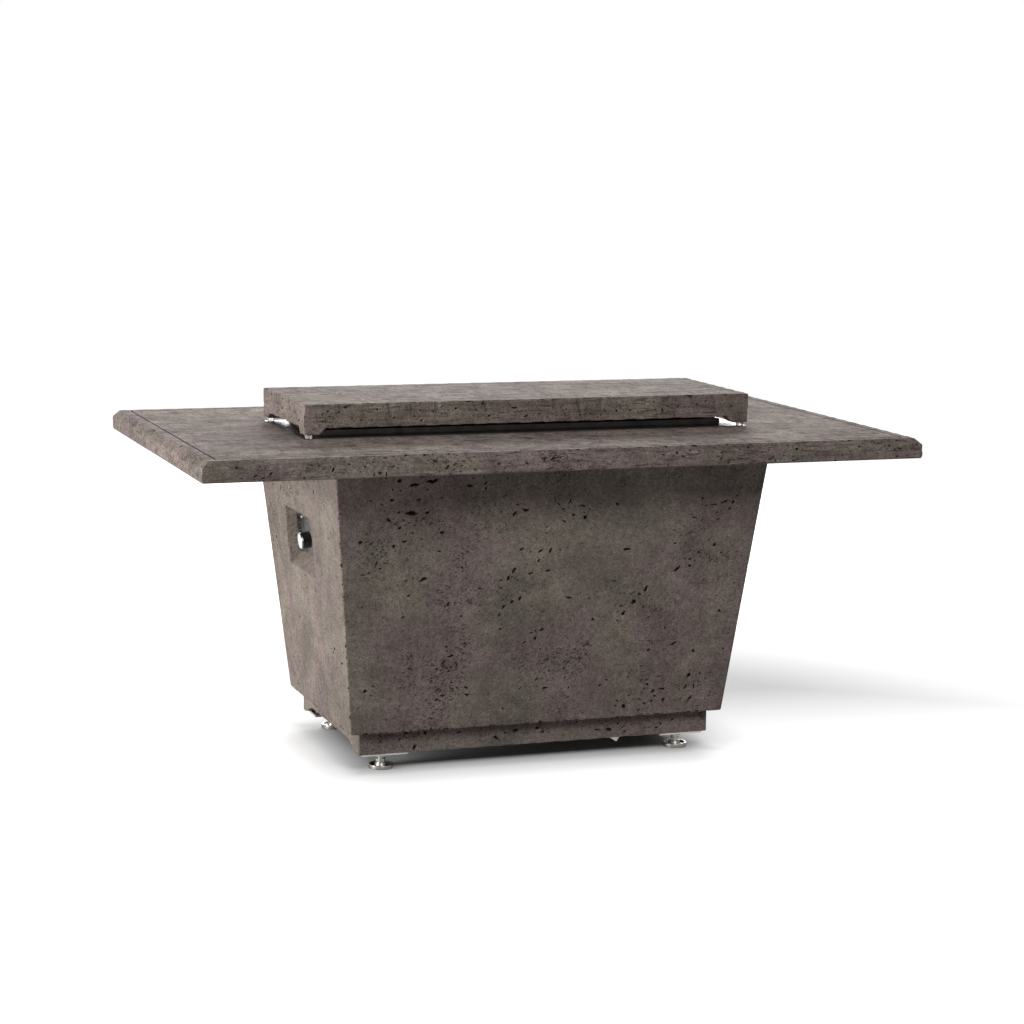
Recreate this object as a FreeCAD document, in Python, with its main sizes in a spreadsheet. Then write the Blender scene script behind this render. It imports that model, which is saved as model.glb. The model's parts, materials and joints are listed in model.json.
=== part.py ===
"""Gas fire pit table: a flared stone pedestal on levelling feet, a chamfered stone top with a
drop-in burner pan, a lift-off stone cover, and a push-and-turn gas control in an end recess.

Millimetres, +Z up. The origin is on the floor at the middle of the table. X runs along the
table, and the control recess is on the -X end.
"""
import FreeCAD
import Part
import Sketcher
import math
import os
import re

doc = FreeCAD.newDocument("fire_pit_table")
sheet = doc.addObject("Spreadsheet::Sheet", "Sizes")

SIZES = {
    # Table top
    "table_length": 1384,
    "table_width": 813,
    "table_height": 623,
    "table_thick": 38,
    "edge_chamfer": 11.5,
    "edge_round": 3,
    "groove_inset": 39,
    "groove_wide": 4,
    "groove_deep": 3,
    # Pedestal
    "foot_gap": 33.5,
    "plinth_high": 45,
    "plinth_inset": 21,
    "plinth_wall": 26,
    "base_length": 747,
    "base_width": 443,
    "draft_end": 5.85,
    "draft_side": 8.7,
    "shell_wall": 20,
    "shell_round": 8,
    "arch_rise": 17,
    "arch_margin": 20,
    "arch_ramp": 45,
    # Levelling feet
    "foot_from_end": 53,
    "foot_from_side": 33,
    "stud_radius": 6,
    "stud_long": 54,
    "stud_sunk": 5.3,
    "stud_hex": 16,
    "stud_hex_thick": 6,
    "pad_radius": 23.5,
    "pad_rim": 8,
    "pad_floor": 4.5,
    "pad_lip": 3.5,
    "pad_edge_round": 1.5,
    "pad_foot_chamfer": 1,
    "pad_boss": 10.5,
    "pad_boss_high": 11,
    "nut_across": 22,
    "nut_thick": 7,
    "insert_radius": 9,
    "insert_long": 30,
    "foot_plate_long": 88,
    "foot_plate_wide": 58,
    "foot_plate_thick": 4,
    "foot_screw_inset": 10,
    "foot_screw_head": 2.2,
    "corner_block_long": 96,
    "corner_block_wide": 66,
    # Cover
    "cover_length": 889,
    "cover_width": 308,
    "cover_thick": 44,
    "cover_round": 4,
    "cover_foot_high": 12,
    "cover_foot_flat": 30,
    "cover_foot_slope": 12.5,
    "cover_rim": 46,
    "cover_relief": 20,
    "bumper_radius": 8,
    "bumper_high": 7,
    "bumper_inset": 12,
    # Burner pan
    "flange_length": 889,
    "flange_width": 300,
    "flange_border": 36,
    "pan_sheet": 1.5,
    "pan_deep": 70,
    "pan_taper": 15.5,
    "cutout_gap": 4,
    "guard_up": 10,
    "guard_down": 10,
    "guard_thick": 2,
    # Burner
    "burner_long": 720,
    "burner_radius": 12.7,
    "burner_wall": 1.5,
    "burner_lift": 30,
    "port_radius": 1.5,
    "port_pitch": 20,
    "port_inset": 30,
    "stub_radius": 10,
    "stub_below": 25,
    "saddle_apart": 500,
    "saddle_long": 18,
    "saddle_wide": 60,
    "saddle_web": 30,
    "saddle_thick": 3,
    "saddle_screw_inset": 8,
    "saddle_screw_below": 6,
    "rock_high": 46,
    "rock_gap": 2,
    "mixer_radius": 14,
    "mixer_long": 42,
    "mixer_overlap": 16,
    "mixer_hole_radius": 5,
    "mixer_hole_rise": 16,
    "orifice_across": 26,
    "orifice_long": 22,
    "orifice_neck": 5,
    "orifice_tip_radius": 4,
    "orifice_tip_long": 12,
    "jet_radius": 1.2,
    "elbow_side": 24,
    # Gas control
    "control_height": 406,
    "control_shift": 20,
    "recess_wide": 195,
    "recess_tall": 115,
    "recess_deep": 30,
    "recess_splay_side": 8,
    "recess_splay_top": 20,
    "recess_mouth_over": 10,
    "recess_back": 12,
    "window_wide": 150,
    "window_tall": 50,
    "plate_thick": 2,
    "plate_lip": 8,
    "knob_radius": 16.5,
    "knob_long": 18,
    "cap_thick": 2,
    "cap_radius": 15,
    "neck_radius": 5,
    "neck_out": 5.5,
    "neck_nut_thick": 3,
    "stem_radius": 3,
    "stem_collar": 1.5,
    "knob_floor": 2,
    "knob_hollow": 7,
    "knob_edge": 0.8,
    "grub_radius": 1.5,
    "push_travel": 3,
    "valve_side": 32,
    "valve_long": 46,
    "valve_gap": 4,
    "valve_bevel": 3,
    "valve_inlet_share": 0.6,
    "port_boss_radius": 9,
    "outlet_long": 12,
    "inlet_drop": 8,
    "chamber_radius": 6.5,
    "chamber_long": 18,
    "washer_thick": 1,
    "spring_wire": 0.7,
    "spring_turns": 5,
    "hose_radius": 6.5,
    "hose_lead": 22.75,
    "hose_nut_across": 19,
    "hose_nut_long": 12,
    "inlet_inset": 50,
    "inlet_plate_past": 18,
    "inlet_thread_radius": 7.94,
    "inlet_thread_long": 27,
    "inlet_shank_radius": 9.5,
    "inlet_rise": 16.5,
    "inlet_plate": 3,
    "inlet_hex": 26,
    "inlet_hex_thick": 6,
    "inlet_bore": 4,
    "inlet_bore_above": 4,
    "inlet_screw_long": 12,
    # Fasteners and small parts
    "slack": 0.08,
    "seat_gap": 0.2,
    "bracket_long": 60,
    "bracket_leg": 42,
    "bracket_thick": 4,
    "bracket_apart": 460,
    "bolt_radius": 4,
    "bolt_into": 20,
    "screw_radius": 2,
    "tag_long": 60,
    "tag_wide": 38,
    "tag_thick": 1.5,
    "tag_x": 176,
    "tag_low": 17,
    "tag_behind_wall": 4,
    "tag_hole_inset": 6,
    "tag_hole_radius": 1.6,
    "chain_ball": 1.6,
    "chain_wire": 0.8,
    "chain_loop": 3.4,
    "chain_rise": 3,
    "pin_sunk": 8,
    "pin_out": 12,
}

for row, (alias, size) in enumerate(SIZES.items(), start=1):
    sheet.set("A%d" % row, alias)
    sheet.set("B%d" % row, str(size))
    sheet.setAlias("B%d" % row, alias)
doc.recompute()

X_AXIS = (1, 0, 0)
Y_AXIS = (0, 1, 0)
Z_AXIS = (0, 0, 1)
NO_TURN = (Z_AXIS, "0")
ALONG_X = (Y_AXIS, "90")
ALONG_Y = (X_AXIS, "-90")
RISING = (X_AXIS, "90")
INWARD = (Z_AXIS, "-90")
CYCLE = ((1, 1, 1), "120")
CORNERS = [(-1, -1), (1, -1), (-1, 1), (1, 1)]
pieces = []


def linked(formula):
    """Writes the sheet's name before each size in a formula."""
    def swap(word):
        return "Sizes." + word.group(0) if word.group(0) in SIZES else word.group(0)
    return re.sub(r"\b[a-z][a-z_]*\b", swap, str(formula))


def bind(thing, **formulas):
    """Binds properties of an object to formulas of the sheet's sizes."""
    for name, formula in formulas.items():
        thing.setExpression(name, linked(formula))


def placing(spot, turn=NO_TURN, frame=""):
    """A placement as a formula: a turn, then a shift, then the frame that it is given in."""
    axis, angle = turn
    here = "placement(vector(%s; %s; %s); rotation(vector(%s; %s; %s); %s))" % (*spot, *axis, angle)
    return frame + " * " + here if frame else here


def add(kind, sizes, spot, turn=NO_TURN, frame="", body=None, cut=False):
    """Makes one primitive, by itself or as a feature that a body gains or loses."""
    if body is None:
        thing = doc.addObject("Part::" + kind, kind)
    else:
        sense = "Subtractive" if cut else "Additive"
        thing = body.newObject("PartDesign::" + sense + kind, sense + kind)
    bind(thing, **sizes)
    bind(thing, Placement=placing(spot, turn, frame))
    return thing


def box(spot, size, centred="xy", **where):
    """A box whose spot is its middle along the centred axes and its low side along the others."""
    low = ["%s - (%s) / 2" % (at, long) if axis in centred else at
           for at, long, axis in zip(spot, size, "xyz")]
    return add("Box", dict(zip(("Length", "Width", "Height"), size)), low, **where)


def rod(spot, radius, long, **where):
    """A cylinder that stands on its spot, along Z unless it is turned."""
    return add("Cylinder", {"Radius": radius, "Height": long}, spot, **where)


def cone(spot, low_radius, top_radius, long, **where):
    """A cone that stands on its spot."""
    return add("Cone", {"Radius1": low_radius, "Radius2": top_radius, "Height": long}, spot, **where)


def hexagon(spot, across, long, **where):
    """A six-sided prism, sized across its flats."""
    sizes = {"Polygon": "6", "Circumradius": "(%s) / 2 / cos(30)" % across, "Height": long}
    return add("Prism", sizes, spot, **where)


def frustum(spot, low, top, high, turn=RISING, **where):
    """A four-sided taper on its spot, from half sizes at its foot to half sizes at its head."""
    sizes = {"Ymin": "0", "Ymax": high}
    for name, half in zip(("X", "Z", "X2", "Z2"), (*low, *top)):
        sizes[name + "min"] = "-(%s)" % half
        sizes[name + "max"] = half
    return add("Wedge", sizes, spot, turn=turn, **where)


def new_body(label):
    """A new sub-part that gathers features in order."""
    body = doc.addObject("PartDesign::Body", label)
    pieces.append((label, body))
    return body


def keep(label, thing):
    """Names an object as one of the sub-parts."""
    thing.Label = label
    pieces.append((label, thing))
    return thing


def join(things):
    """One solid from several that meet."""
    whole = doc.addObject("Part::MultiFuse", "Join")
    whole.Shapes = things
    return whole


def trim(base, tools):
    """A solid less its tools."""
    rest = doc.addObject("Part::Cut", "Trim")
    rest.Base = base
    rest.Tool = tools[0] if len(tools) == 1 else join(tools)
    return rest


def group(label, things):
    """A sub-part of several equal, separate solids."""
    whole = doc.addObject("Part::Compound", label)
    whole.Links = things
    return keep(label, whole)


def edges_of(feature, wanted):
    """Names of the edges of a feature that pass a test of their middle and direction."""
    doc.recompute()
    names = []
    for index, edge in enumerate(feature.Shape.Edges, start=1):
        middle = edge.valueAt((edge.FirstParameter + edge.LastParameter) / 2)
        way = edge.tangentAt((edge.FirstParameter + edge.LastParameter) / 2)
        if wanted(middle, way):
            names.append("Edge%d" % index)
    return names


def dress(body, kind, wanted, **sizes):
    """A fillet or a chamfer on the edges of a body that pass a test."""
    base = body.Tip
    names = edges_of(base, wanted)
    feature = body.newObject("PartDesign::" + kind, kind)
    feature.Base = (base, names)
    bind(feature, **sizes)
    return feature


def rising(middle, way):
    """Tests for an edge that climbs more than it runs."""
    return abs(way.z) > 0.9


def number(formula):
    """The value of a formula of the sheet's sizes."""
    return sheet.evalExpression(linked(formula))


def rectangle(body, long, wide, plane="XY_Plane"):
    """A sketch of a rectangle about the body's origin."""
    sketch = body.newObject("Sketcher::SketchObject", "Outline")
    plane_of = [face for face in body.Origin.OriginFeatures if face.Role == plane][0]
    sketch.AttachmentSupport = [(plane_of, "")]
    sketch.MapMode = "FlatFace"
    corner = [FreeCAD.Vector(20 * x, 10 * y, 0) for x, y in ((-1, -1), (1, -1), (1, 1), (-1, 1))]
    for side in range(4):
        sketch.addGeometry(Part.LineSegment(corner[side], corner[(side + 1) % 4]), False)
    for side in range(4):
        sketch.addConstraint(Sketcher.Constraint("Coincident", side, 2, (side + 1) % 4, 1))
    for side, sense in enumerate(("Horizontal", "Vertical", "Horizontal", "Vertical")):
        sketch.addConstraint(Sketcher.Constraint(sense, side))
    sketch.addConstraint(Sketcher.Constraint("Symmetric", 0, 1, 1, 2, -1, 1))
    for name, line, size in (("long", 0, long), ("wide", 1, wide)):
        index = sketch.addConstraint(Sketcher.Constraint("Distance", line, 30 if line else 50))
        sketch.renameConstraint(index, name)
        sketch.setExpression("Constraints." + name, linked(size))
    return sketch


# Heights and half sizes that several sub-parts share
body_low = "(foot_gap + plinth_high)"
slab_low = "(table_height - table_thick)"
body_high = "(table_height - table_thick - foot_gap - plinth_high)"
low_x = "(base_length / 2)"
low_y = "(base_width / 2)"
top_x = "(base_length / 2 + %s * tan(draft_end))" % body_high
top_y = "(base_width / 2 + %s * tan(draft_side))" % body_high
plinth_x = "(base_length / 2 - plinth_inset)"
plinth_y = "(base_width / 2 - plinth_inset)"
foot_x = "(base_length / 2 - plinth_inset - foot_from_end)"
foot_y = "(base_width / 2 - plinth_inset - foot_from_side)"
foot_screw_x = "(foot_plate_long / 2 - foot_screw_inset)"
ledge = "(foot_gap + plinth_high + shell_wall)"
flange_top = "(table_height + pan_sheet)"
pan_floor = "(table_height + pan_sheet - pan_deep)"
pan_inside = "(table_height + 2 * pan_sheet - pan_deep)"
mouth_x = "(flange_length / 2 - flange_border)"
mouth_y = "(flange_width / 2 - flange_border)"
cover_low = "(table_height + pan_sheet + bumper_high)"
burner_high = "(table_height + 2 * pan_sheet - pan_deep + burner_lift)"
mixer_low = "(%s - stub_below + mixer_overlap - mixer_long)" % pan_floor
orifice_low = "(%s - orifice_long + orifice_neck)" % mixer_low
elbow_z = "(%s - elbow_side / 2)" % orifice_low
screw_hole = "(screw_radius + slack)"
screw_body = "(screw_radius - slack)"
screw_head = "(screw_radius * 1.9)"

# The control's own frame lies on the sloping end face: x runs into the pedestal, z up the face
control_x = "-(base_length / 2 + (control_height - foot_gap - plinth_high) * tan(draft_end))"
CONTROL = placing((control_x, "control_shift", "control_height"), (Y_AXIS, "-draft_end"))
plate_front = "(recess_deep - plate_thick)"
back_wide = "(recess_wide - 2 * recess_splay_side)"
back_tall = "(recess_tall - 2 * recess_splay_top)"
plate_screw_y = "((window_wide + recess_wide - 2 * recess_splay_side) / 4)"
plate_screw_z = "((window_tall + recess_tall - 2 * recess_splay_top) / 4)"
plate_screw_long = "(recess_back - 3)"
neck_tip = "(recess_deep - plate_thick - neck_out)"
valve_front = "(recess_deep + valve_gap)"
valve_back = "(recess_deep + valve_gap + valve_long)"
valve_inlet_x = "(recess_deep + valve_gap + valve_inlet_share * valve_long)"
valve_inlet_z = "(-valve_side / 2 - inlet_drop)"
chamber_end = "(recess_deep + valve_gap + chamber_long)"
collar_front = "(%s + 0.3)" % valve_front
collar_back = "(%s + 2)" % valve_front
spring_front = "(%s + washer_thick)" % collar_back
grub_x = "(cap_thick + knob_floor + (knob_long - knob_floor - knob_hollow) / 2)"

# The top brackets hang under the slab, against the sloping inner side walls
bracket_wall_y = "(%s - shell_wall - seat_gap)" % top_y
bracket_bolt_y = "(%s - shell_wall - seat_gap - bracket_leg / 2)" % top_y
bracket_bolt_z = "((bracket_thick + bracket_leg) / 2)"

# The gas inlet stands on a bracket that is screwed to the ledge inside the plinth
inlet_screw_x = "(%s - plinth_wall / 2)" % plinth_x
inlet_screw_y = "(bracket_leg / 3)"
inlet_x = "(%s - plinth_wall - inlet_inset / 2)" % plinth_x
inlet_nut_low = "(%s - inlet_hex_thick)" % ledge

# The tag hangs by a corner, with its diagonal upright
tag_diagonal = "sqrt(tag_long * tag_long + tag_wide * tag_wide)"
tag_hole_z = "(tag_low + %s - tag_hole_inset)" % tag_diagonal
tag_pin_z = "(tag_low + %s + chain_rise)" % tag_diagonal
tag_wall_y = "(%s - plinth_wall)" % plinth_y


def table_top():
    """The stone slab: chamfered rim, sunk border line, opening for the burner pan."""
    body = new_body("table_top")
    sketch = rectangle(body, "table_length", "table_width")
    pad = body.newObject("PartDesign::Pad", "Slab")
    pad.Profile = sketch
    bind(pad, Length="table_thick")
    dress(body, "Chamfer", lambda middle, way: middle.z > SIZES["table_thick"] - 0.1, Size="edge_chamfer")
    dress(body, "Fillet", lambda middle, way: middle.z < 0.1, Radius="edge_round")
    line_low = "(table_thick - groove_deep)"
    long = "(table_length - 2 * groove_inset + groove_wide)"
    wide = "(table_width - 2 * groove_inset + groove_wide)"
    for side in (-1, 1):
        box(("0", "%d * (table_width / 2 - groove_inset)" % side, line_low),
            (long, "groove_wide", "groove_deep + 1"), body=body, cut=True)
        box(("%d * (table_length / 2 - groove_inset)" % side, "0", line_low),
            ("groove_wide", wide, "groove_deep + 1"), body=body, cut=True)
    box(("0", "0", "-1"), ("2 * %s + 2 * cutout_gap" % mouth_x, "2 * %s + 2 * cutout_gap" % mouth_y,
                           "table_thick + 2"), body=body, cut=True)
    for x, y in CORNERS:
        rod(("%d * bracket_apart / 2" % x, "%d * %s" % (y, bracket_bolt_y), "-1"),
            "bolt_radius", "bolt_into + 1.5", body=body, cut=True)
    bind(body, Placement=placing(("0", "0", slab_low)))


def bracket_frame(side):
    """The frame of a leg on a side wall: z runs down the wall and y into it, at the slab."""
    return placing(("0", "%d * %s" % (side, bracket_wall_y), slab_low), (X_AXIS, "%d * draft_side" % -side))


def pedestal_shell():
    """The hollow stone pedestal and plinth in one casting, with its control recess."""
    body = new_body("pedestal_shell")
    box(("0", "0", "foot_gap"), ("2 * " + plinth_x, "2 * " + plinth_y, "plinth_high + 1"), body=body)
    frustum(("0", "0", body_low), (low_x, low_y), (top_x, top_y), body_high, body=body)
    dress(body, "Fillet", rising, Radius="shell_round")
    hollow_high = "(%s - shell_wall + 1)" % body_high
    frustum(("0", "0", ledge),
            ("(%s - shell_wall + shell_wall * tan(draft_end))" % low_x,
             "(%s - shell_wall + shell_wall * tan(draft_side))" % low_y),
            ("(%s - shell_wall + tan(draft_end))" % top_x, "(%s - shell_wall + tan(draft_side))" % top_y),
            hollow_high, body=body, cut=True)
    box(("0", "0", "foot_gap - 1"), ("2 * (%s - plinth_wall)" % plinth_x,
                                     "2 * (%s - plinth_wall)" % plinth_y, "plinth_high + shell_wall + 2"),
        body=body, cut=True)
    for x, y in CORNERS:
        box(("%d * (%s - corner_block_long / 2)" % (x, plinth_x),
             "%d * (%s - corner_block_wide / 2)" % (y, plinth_y), "foot_gap"),
            ("corner_block_long - 2 * shell_round", "corner_block_wide - 2 * shell_round", "plinth_high"),
            body=body)
    box(("shell_wall / 2", "0", "0"), ("recess_deep + recess_back - shell_wall / 2",
                                       back_wide + " + 2 * shell_wall", back_tall + " + 2 * shell_wall"),
        centred="yz", frame=CONTROL, body=body)
    spread_y = "(recess_wide / 2 + recess_splay_side * recess_mouth_over / recess_deep)"
    spread_z = "(recess_tall / 2 + recess_splay_top * recess_mouth_over / recess_deep)"
    frustum(("-recess_mouth_over", "0", "0"), (spread_y, spread_z),
            (back_wide + " / 2", back_tall + " / 2"), "recess_deep + recess_mouth_over",
            turn=INWARD, frame=CONTROL, body=body, cut=True)
    box(("recess_deep - 1", "0", "0"), ("recess_back + 2", "window_wide", "window_tall"),
        centred="yz", frame=CONTROL, body=body, cut=True)
    for y, z in CORNERS:
        rod(("recess_deep - 1", "%d * %s" % (y, plate_screw_y), "%d * %s" % (z, plate_screw_z)),
            "screw_radius", "recess_back - 1", turn=ALONG_X, frame=CONTROL, body=body, cut=True)
    arch_half = "(%s - arch_margin)" % plinth_y
    arch_half_top = "(%s - arch_ramp)" % arch_half
    for side in (-1, 1):
        frustum(("%d * (%s - plinth_wall / 2)" % (side, plinth_x), "0", "foot_gap - 1"),
                (arch_half, "plinth_wall / 2 + 2"), (arch_half_top, "plinth_wall / 2 + 2"),
                "arch_rise + 1", turn=CYCLE, body=body, cut=True)
    for x, y in CORNERS:
        spot = ("%d * %s" % (x, foot_x), "%d * %s" % (y, foot_y), "foot_gap - 1")
        rod(spot, "insert_radius", "insert_long + 1", body=body, cut=True)
        rod(spot, "stud_radius + 1", "plinth_high + shell_wall + 2", body=body, cut=True)
        for end in (-1, 1):
            rod(("%d * %s + %d * %s" % (x, foot_x, end, foot_screw_x), "%d * %s" % (y, foot_y),
                 "foot_gap - 1"), "screw_radius", "plinth_high / 2 + 1", body=body, cut=True)
        rod(("%d * bracket_apart / 2" % x, "-%d * bracket_thick" % y, "-" + bracket_bolt_z),
            "bolt_radius", "shell_wall * 3 / 4", turn=(X_AXIS, "%d * -90" % y), frame=bracket_frame(y),
            body=body, cut=True)
    for end in (-1, 1):
        rod(("-" + inlet_screw_x, "control_shift + %d * %s" % (end, inlet_screw_y),
             ledge + " - inlet_screw_long - 2"), "screw_radius", "inlet_screw_long + 3", body=body,
            cut=True)
    rod(("tag_x", "-%s - pin_sunk - 1" % tag_wall_y, tag_pin_z), "screw_radius", "pin_sunk + 2",
        turn=ALONG_Y, body=body, cut=True)


def top_brackets():
    """Four angle brackets that tie the slab to the pedestal, and their bolts."""
    brackets = []
    bolts = []
    lean = "bracket_thick * tan(draft_side)"
    for x, y in CORNERS:
        at = "%d * bracket_apart / 2" % x
        leg = box((at, "-%d * bracket_thick / 2" % y, "-bracket_thick - bracket_leg"),
                  ("bracket_long", "bracket_thick", "bracket_leg + bracket_thick / 2"),
                  frame=bracket_frame(y))
        flat = box((at, "%d * (%s - (bracket_leg + %s) / 2)" % (y, bracket_wall_y, lean),
                    slab_low + " - bracket_thick"),
                   ("bracket_long", "bracket_leg - " + lean, "bracket_thick"))
        up_spot = (at, "%d * %s" % (y, bracket_bolt_y), slab_low + " - bracket_thick - 1")
        side_spot = (at, "-%d * (bracket_thick + 1)" % y, "-" + bracket_bolt_z)
        side_turn = (X_AXIS, "%d * -90" % y)
        holes = [rod(up_spot, "bolt_radius + slack", "bracket_thick + 2"),
                 rod(side_spot, "bolt_radius + slack", "bracket_thick + 2", turn=side_turn,
                     frame=bracket_frame(y))]
        brackets.append(trim(join([leg, flat]), holes))
        head_low = slab_low + " - bracket_thick - bolt_radius"
        bolts.append(join([hexagon((up_spot[0], up_spot[1], head_low), "3.2 * bolt_radius", "bolt_radius"),
                           rod((up_spot[0], up_spot[1], head_low), "bolt_radius - slack",
                               "bolt_radius + bracket_thick + bolt_into - 1")]))
        head_spot = (at, "-%d * (bracket_thick + bolt_radius)" % y, "-" + bracket_bolt_z)
        bolts.append(join([hexagon(head_spot, "3.2 * bolt_radius", "bolt_radius", turn=side_turn,
                                   frame=bracket_frame(y)),
                           rod(head_spot, "bolt_radius - slack",
                               "bolt_radius + bracket_thick + shell_wall / 2", turn=side_turn,
                               frame=bracket_frame(y))]))
    group("top_brackets", brackets)
    group("bracket_bolts", bolts)


def feet():
    """Four levelling feet: plates, inserts and jam nuts that stay, and pads and studs that move."""
    plates = []
    screws = []
    inserts = []
    nuts = []
    for place, (x, y) in enumerate(CORNERS, start=1):
        at = ("%d * %s" % (x, foot_x), "%d * %s" % (y, foot_y))
        plate = box((*at, "foot_gap - foot_plate_thick"),
                    ("foot_plate_long", "foot_plate_wide", "foot_plate_thick"))
        holes = [rod((*at, "foot_gap - foot_plate_thick - 1"), "stud_radius + slack", "foot_plate_thick + 2")]
        for end in (-1, 1):
            spot = ("%s + %d * %s" % (at[0], end, foot_screw_x), at[1])
            holes.append(rod((*spot, "foot_gap - foot_plate_thick - 1"), screw_hole, "foot_plate_thick + 2"))
            head = cone((*spot, "foot_gap - foot_plate_thick - foot_screw_head"), "screw_radius * 1.6",
                        "screw_radius * 2.1", "foot_screw_head")
            shank = rod((*spot, "foot_gap - foot_plate_thick - 1"), screw_body,
                        "foot_plate_thick + plinth_high / 2 - 1")
            screws.append(join([head, shank]))
        plates.append(trim(plate, holes))
        inserts.append(trim(rod((*at, "foot_gap"), "insert_radius - slack", "insert_long"),
                            [rod((*at, "foot_gap - 1"), "stud_radius + slack", "insert_long + 2")]))
        nut_low = "foot_gap - foot_plate_thick - nut_thick"
        nuts.append(trim(hexagon((*at, nut_low), "nut_across", "nut_thick"),
                         [rod((*at, nut_low + " - 1"), "stud_radius + slack", "nut_thick + 2")]))
        pad = new_body("leveller_pad_%d" % place)
        rod((*at, "0"), "pad_radius", "pad_rim", body=pad)
        dress(pad, "Fillet", lambda middle, way: middle.z > SIZES["pad_rim"] / 2, Radius="pad_edge_round")
        dress(pad, "Chamfer", lambda middle, way: middle.z < SIZES["pad_rim"] / 2, Size="pad_foot_chamfer")
        cone((*at, "pad_floor"), "pad_radius - 2 * pad_lip", "pad_radius - pad_lip",
             "pad_rim - pad_floor + 0.01", body=pad, cut=True)
        cone((*at, "pad_floor - 0.5"), "pad_boss + 2", "pad_boss - 1", "pad_boss_high - pad_floor + 0.5",
             body=pad)
        rod((*at, "stud_sunk - seat_gap"), "stud_radius + slack", "pad_boss_high", body=pad, cut=True)
        stud = new_body("leveller_stud_%d" % place)
        rod((*at, "stud_sunk"), "stud_radius", "stud_long", body=stud)
        dress(stud, "Chamfer", lambda middle, way: middle.z > SIZES["stud_long"] / 2, Size="1")
        hexagon((*at, "pad_boss_high + 1"), "stud_hex", "stud_hex_thick", body=stud)
    group("leveller_plates", plates)
    group("leveller_plate_screws", screws)
    group("threaded_inserts", inserts)
    group("jam_nuts", nuts)


def cover():
    """The lift-off stone cover: corner feet, four low arches, a relief underneath, soft bumpers."""
    body = new_body("cover_slab")
    high = "(cover_thick + cover_foot_high)"
    sketch = rectangle(body, "cover_length", "cover_width")
    pad = body.newObject("PartDesign::Pad", "Block")
    pad.Profile = sketch
    bind(pad, Length=high)
    dress(body, "Fillet", rising, Radius="cover_round")
    dress(body, "Fillet", lambda middle, way: middle.z > SIZES["cover_thick"], Radius="cover_round")
    arch_high = "(cover_foot_high + 1)"
    run = "(cover_foot_slope / cover_foot_high)"
    for half, across, turn in (("(cover_width / 2 - cover_foot_flat)", "(cover_length + 4)", CYCLE),
                               ("(cover_length / 2 - cover_foot_flat)", "(cover_width + 4)", RISING)):
        sizes = {"Xmin": "-(%s + %s)" % (half, run), "Xmax": "%s + %s" % (half, run),
                 "X2min": "-(%s - cover_foot_slope)" % half, "X2max": "%s - cover_foot_slope" % half,
                 "Ymin": "0", "Ymax": arch_high}
        for name in ("Z", "Z2"):
            sizes[name + "min"] = "-%s / 2" % across
            sizes[name + "max"] = across + " / 2"
        add("Wedge", sizes, ("0", "0", "-1"), turn=turn, body=body, cut=True)
    box(("0", "0", "cover_foot_high - 1"), ("cover_length - 2 * cover_rim", "cover_width - 2 * cover_rim",
                                            "cover_relief + 1"), body=body, cut=True)
    bind(body, Placement=placing(("0", "0", cover_low)))
    bumpers = [cone(("%d * (cover_length / 2 - bumper_inset)" % x,
                     "%d * (cover_width / 2 - bumper_inset)" % y, flange_top),
                    "bumper_radius - 1.5", "bumper_radius", "bumper_high") for x, y in CORNERS]
    group("cover_bumpers", bumpers)


def burner_pan():
    """The drop-in steel pan: a flange on the slab and a tapered tray below it, and its guard."""
    floor_x = "(%s - pan_taper)" % mouth_x
    floor_y = "(%s - pan_taper)" % mouth_y
    flange = box(("0", "0", "table_height"), ("flange_length", "flange_width", "pan_sheet"))
    tray = frustum(("0", "0", pan_floor), (floor_x, floor_y), (mouth_x, mouth_y), "pan_deep")
    hollow = frustum(("0", "0", pan_inside),
                     (floor_x + " - pan_sheet", floor_y + " - pan_sheet"),
                     ("(%s - pan_sheet)" % mouth_x, "(%s - pan_sheet)" % mouth_y), "pan_deep")
    holes = [rod(("0", "0", pan_floor + " - 1"), "stub_radius + 0.5", "pan_sheet + 2")]
    for x, y in CORNERS:
        holes.append(rod(("%d * saddle_apart / 2" % x, "%d * (saddle_wide / 2 - saddle_screw_inset)" % y,
                          pan_floor + " - 1"), screw_hole, "pan_sheet + 2"))
    keep("burner_pan", trim(join([flange, tray]), [hollow] + holes))
    drop = "((guard_down + pan_sheet) * pan_taper / pan_deep)"
    inner = "(pan_sheet + %s + slack)" % drop
    high = "guard_up + guard_down"
    outer = box(("0", "0", flange_top + " - guard_down"),
                ("2 * (%s - %s)" % (mouth_x, inner), "2 * (%s - %s)" % (mouth_y, inner), high))
    core = box(("0", "0", flange_top + " - guard_down - 1"),
               ("2 * (%s - %s - guard_thick)" % (mouth_x, inner),
                "2 * (%s - %s - guard_thick)" % (mouth_y, inner), high + " + 2"))
    keep("media_guard", trim(outer, [core]))


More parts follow.
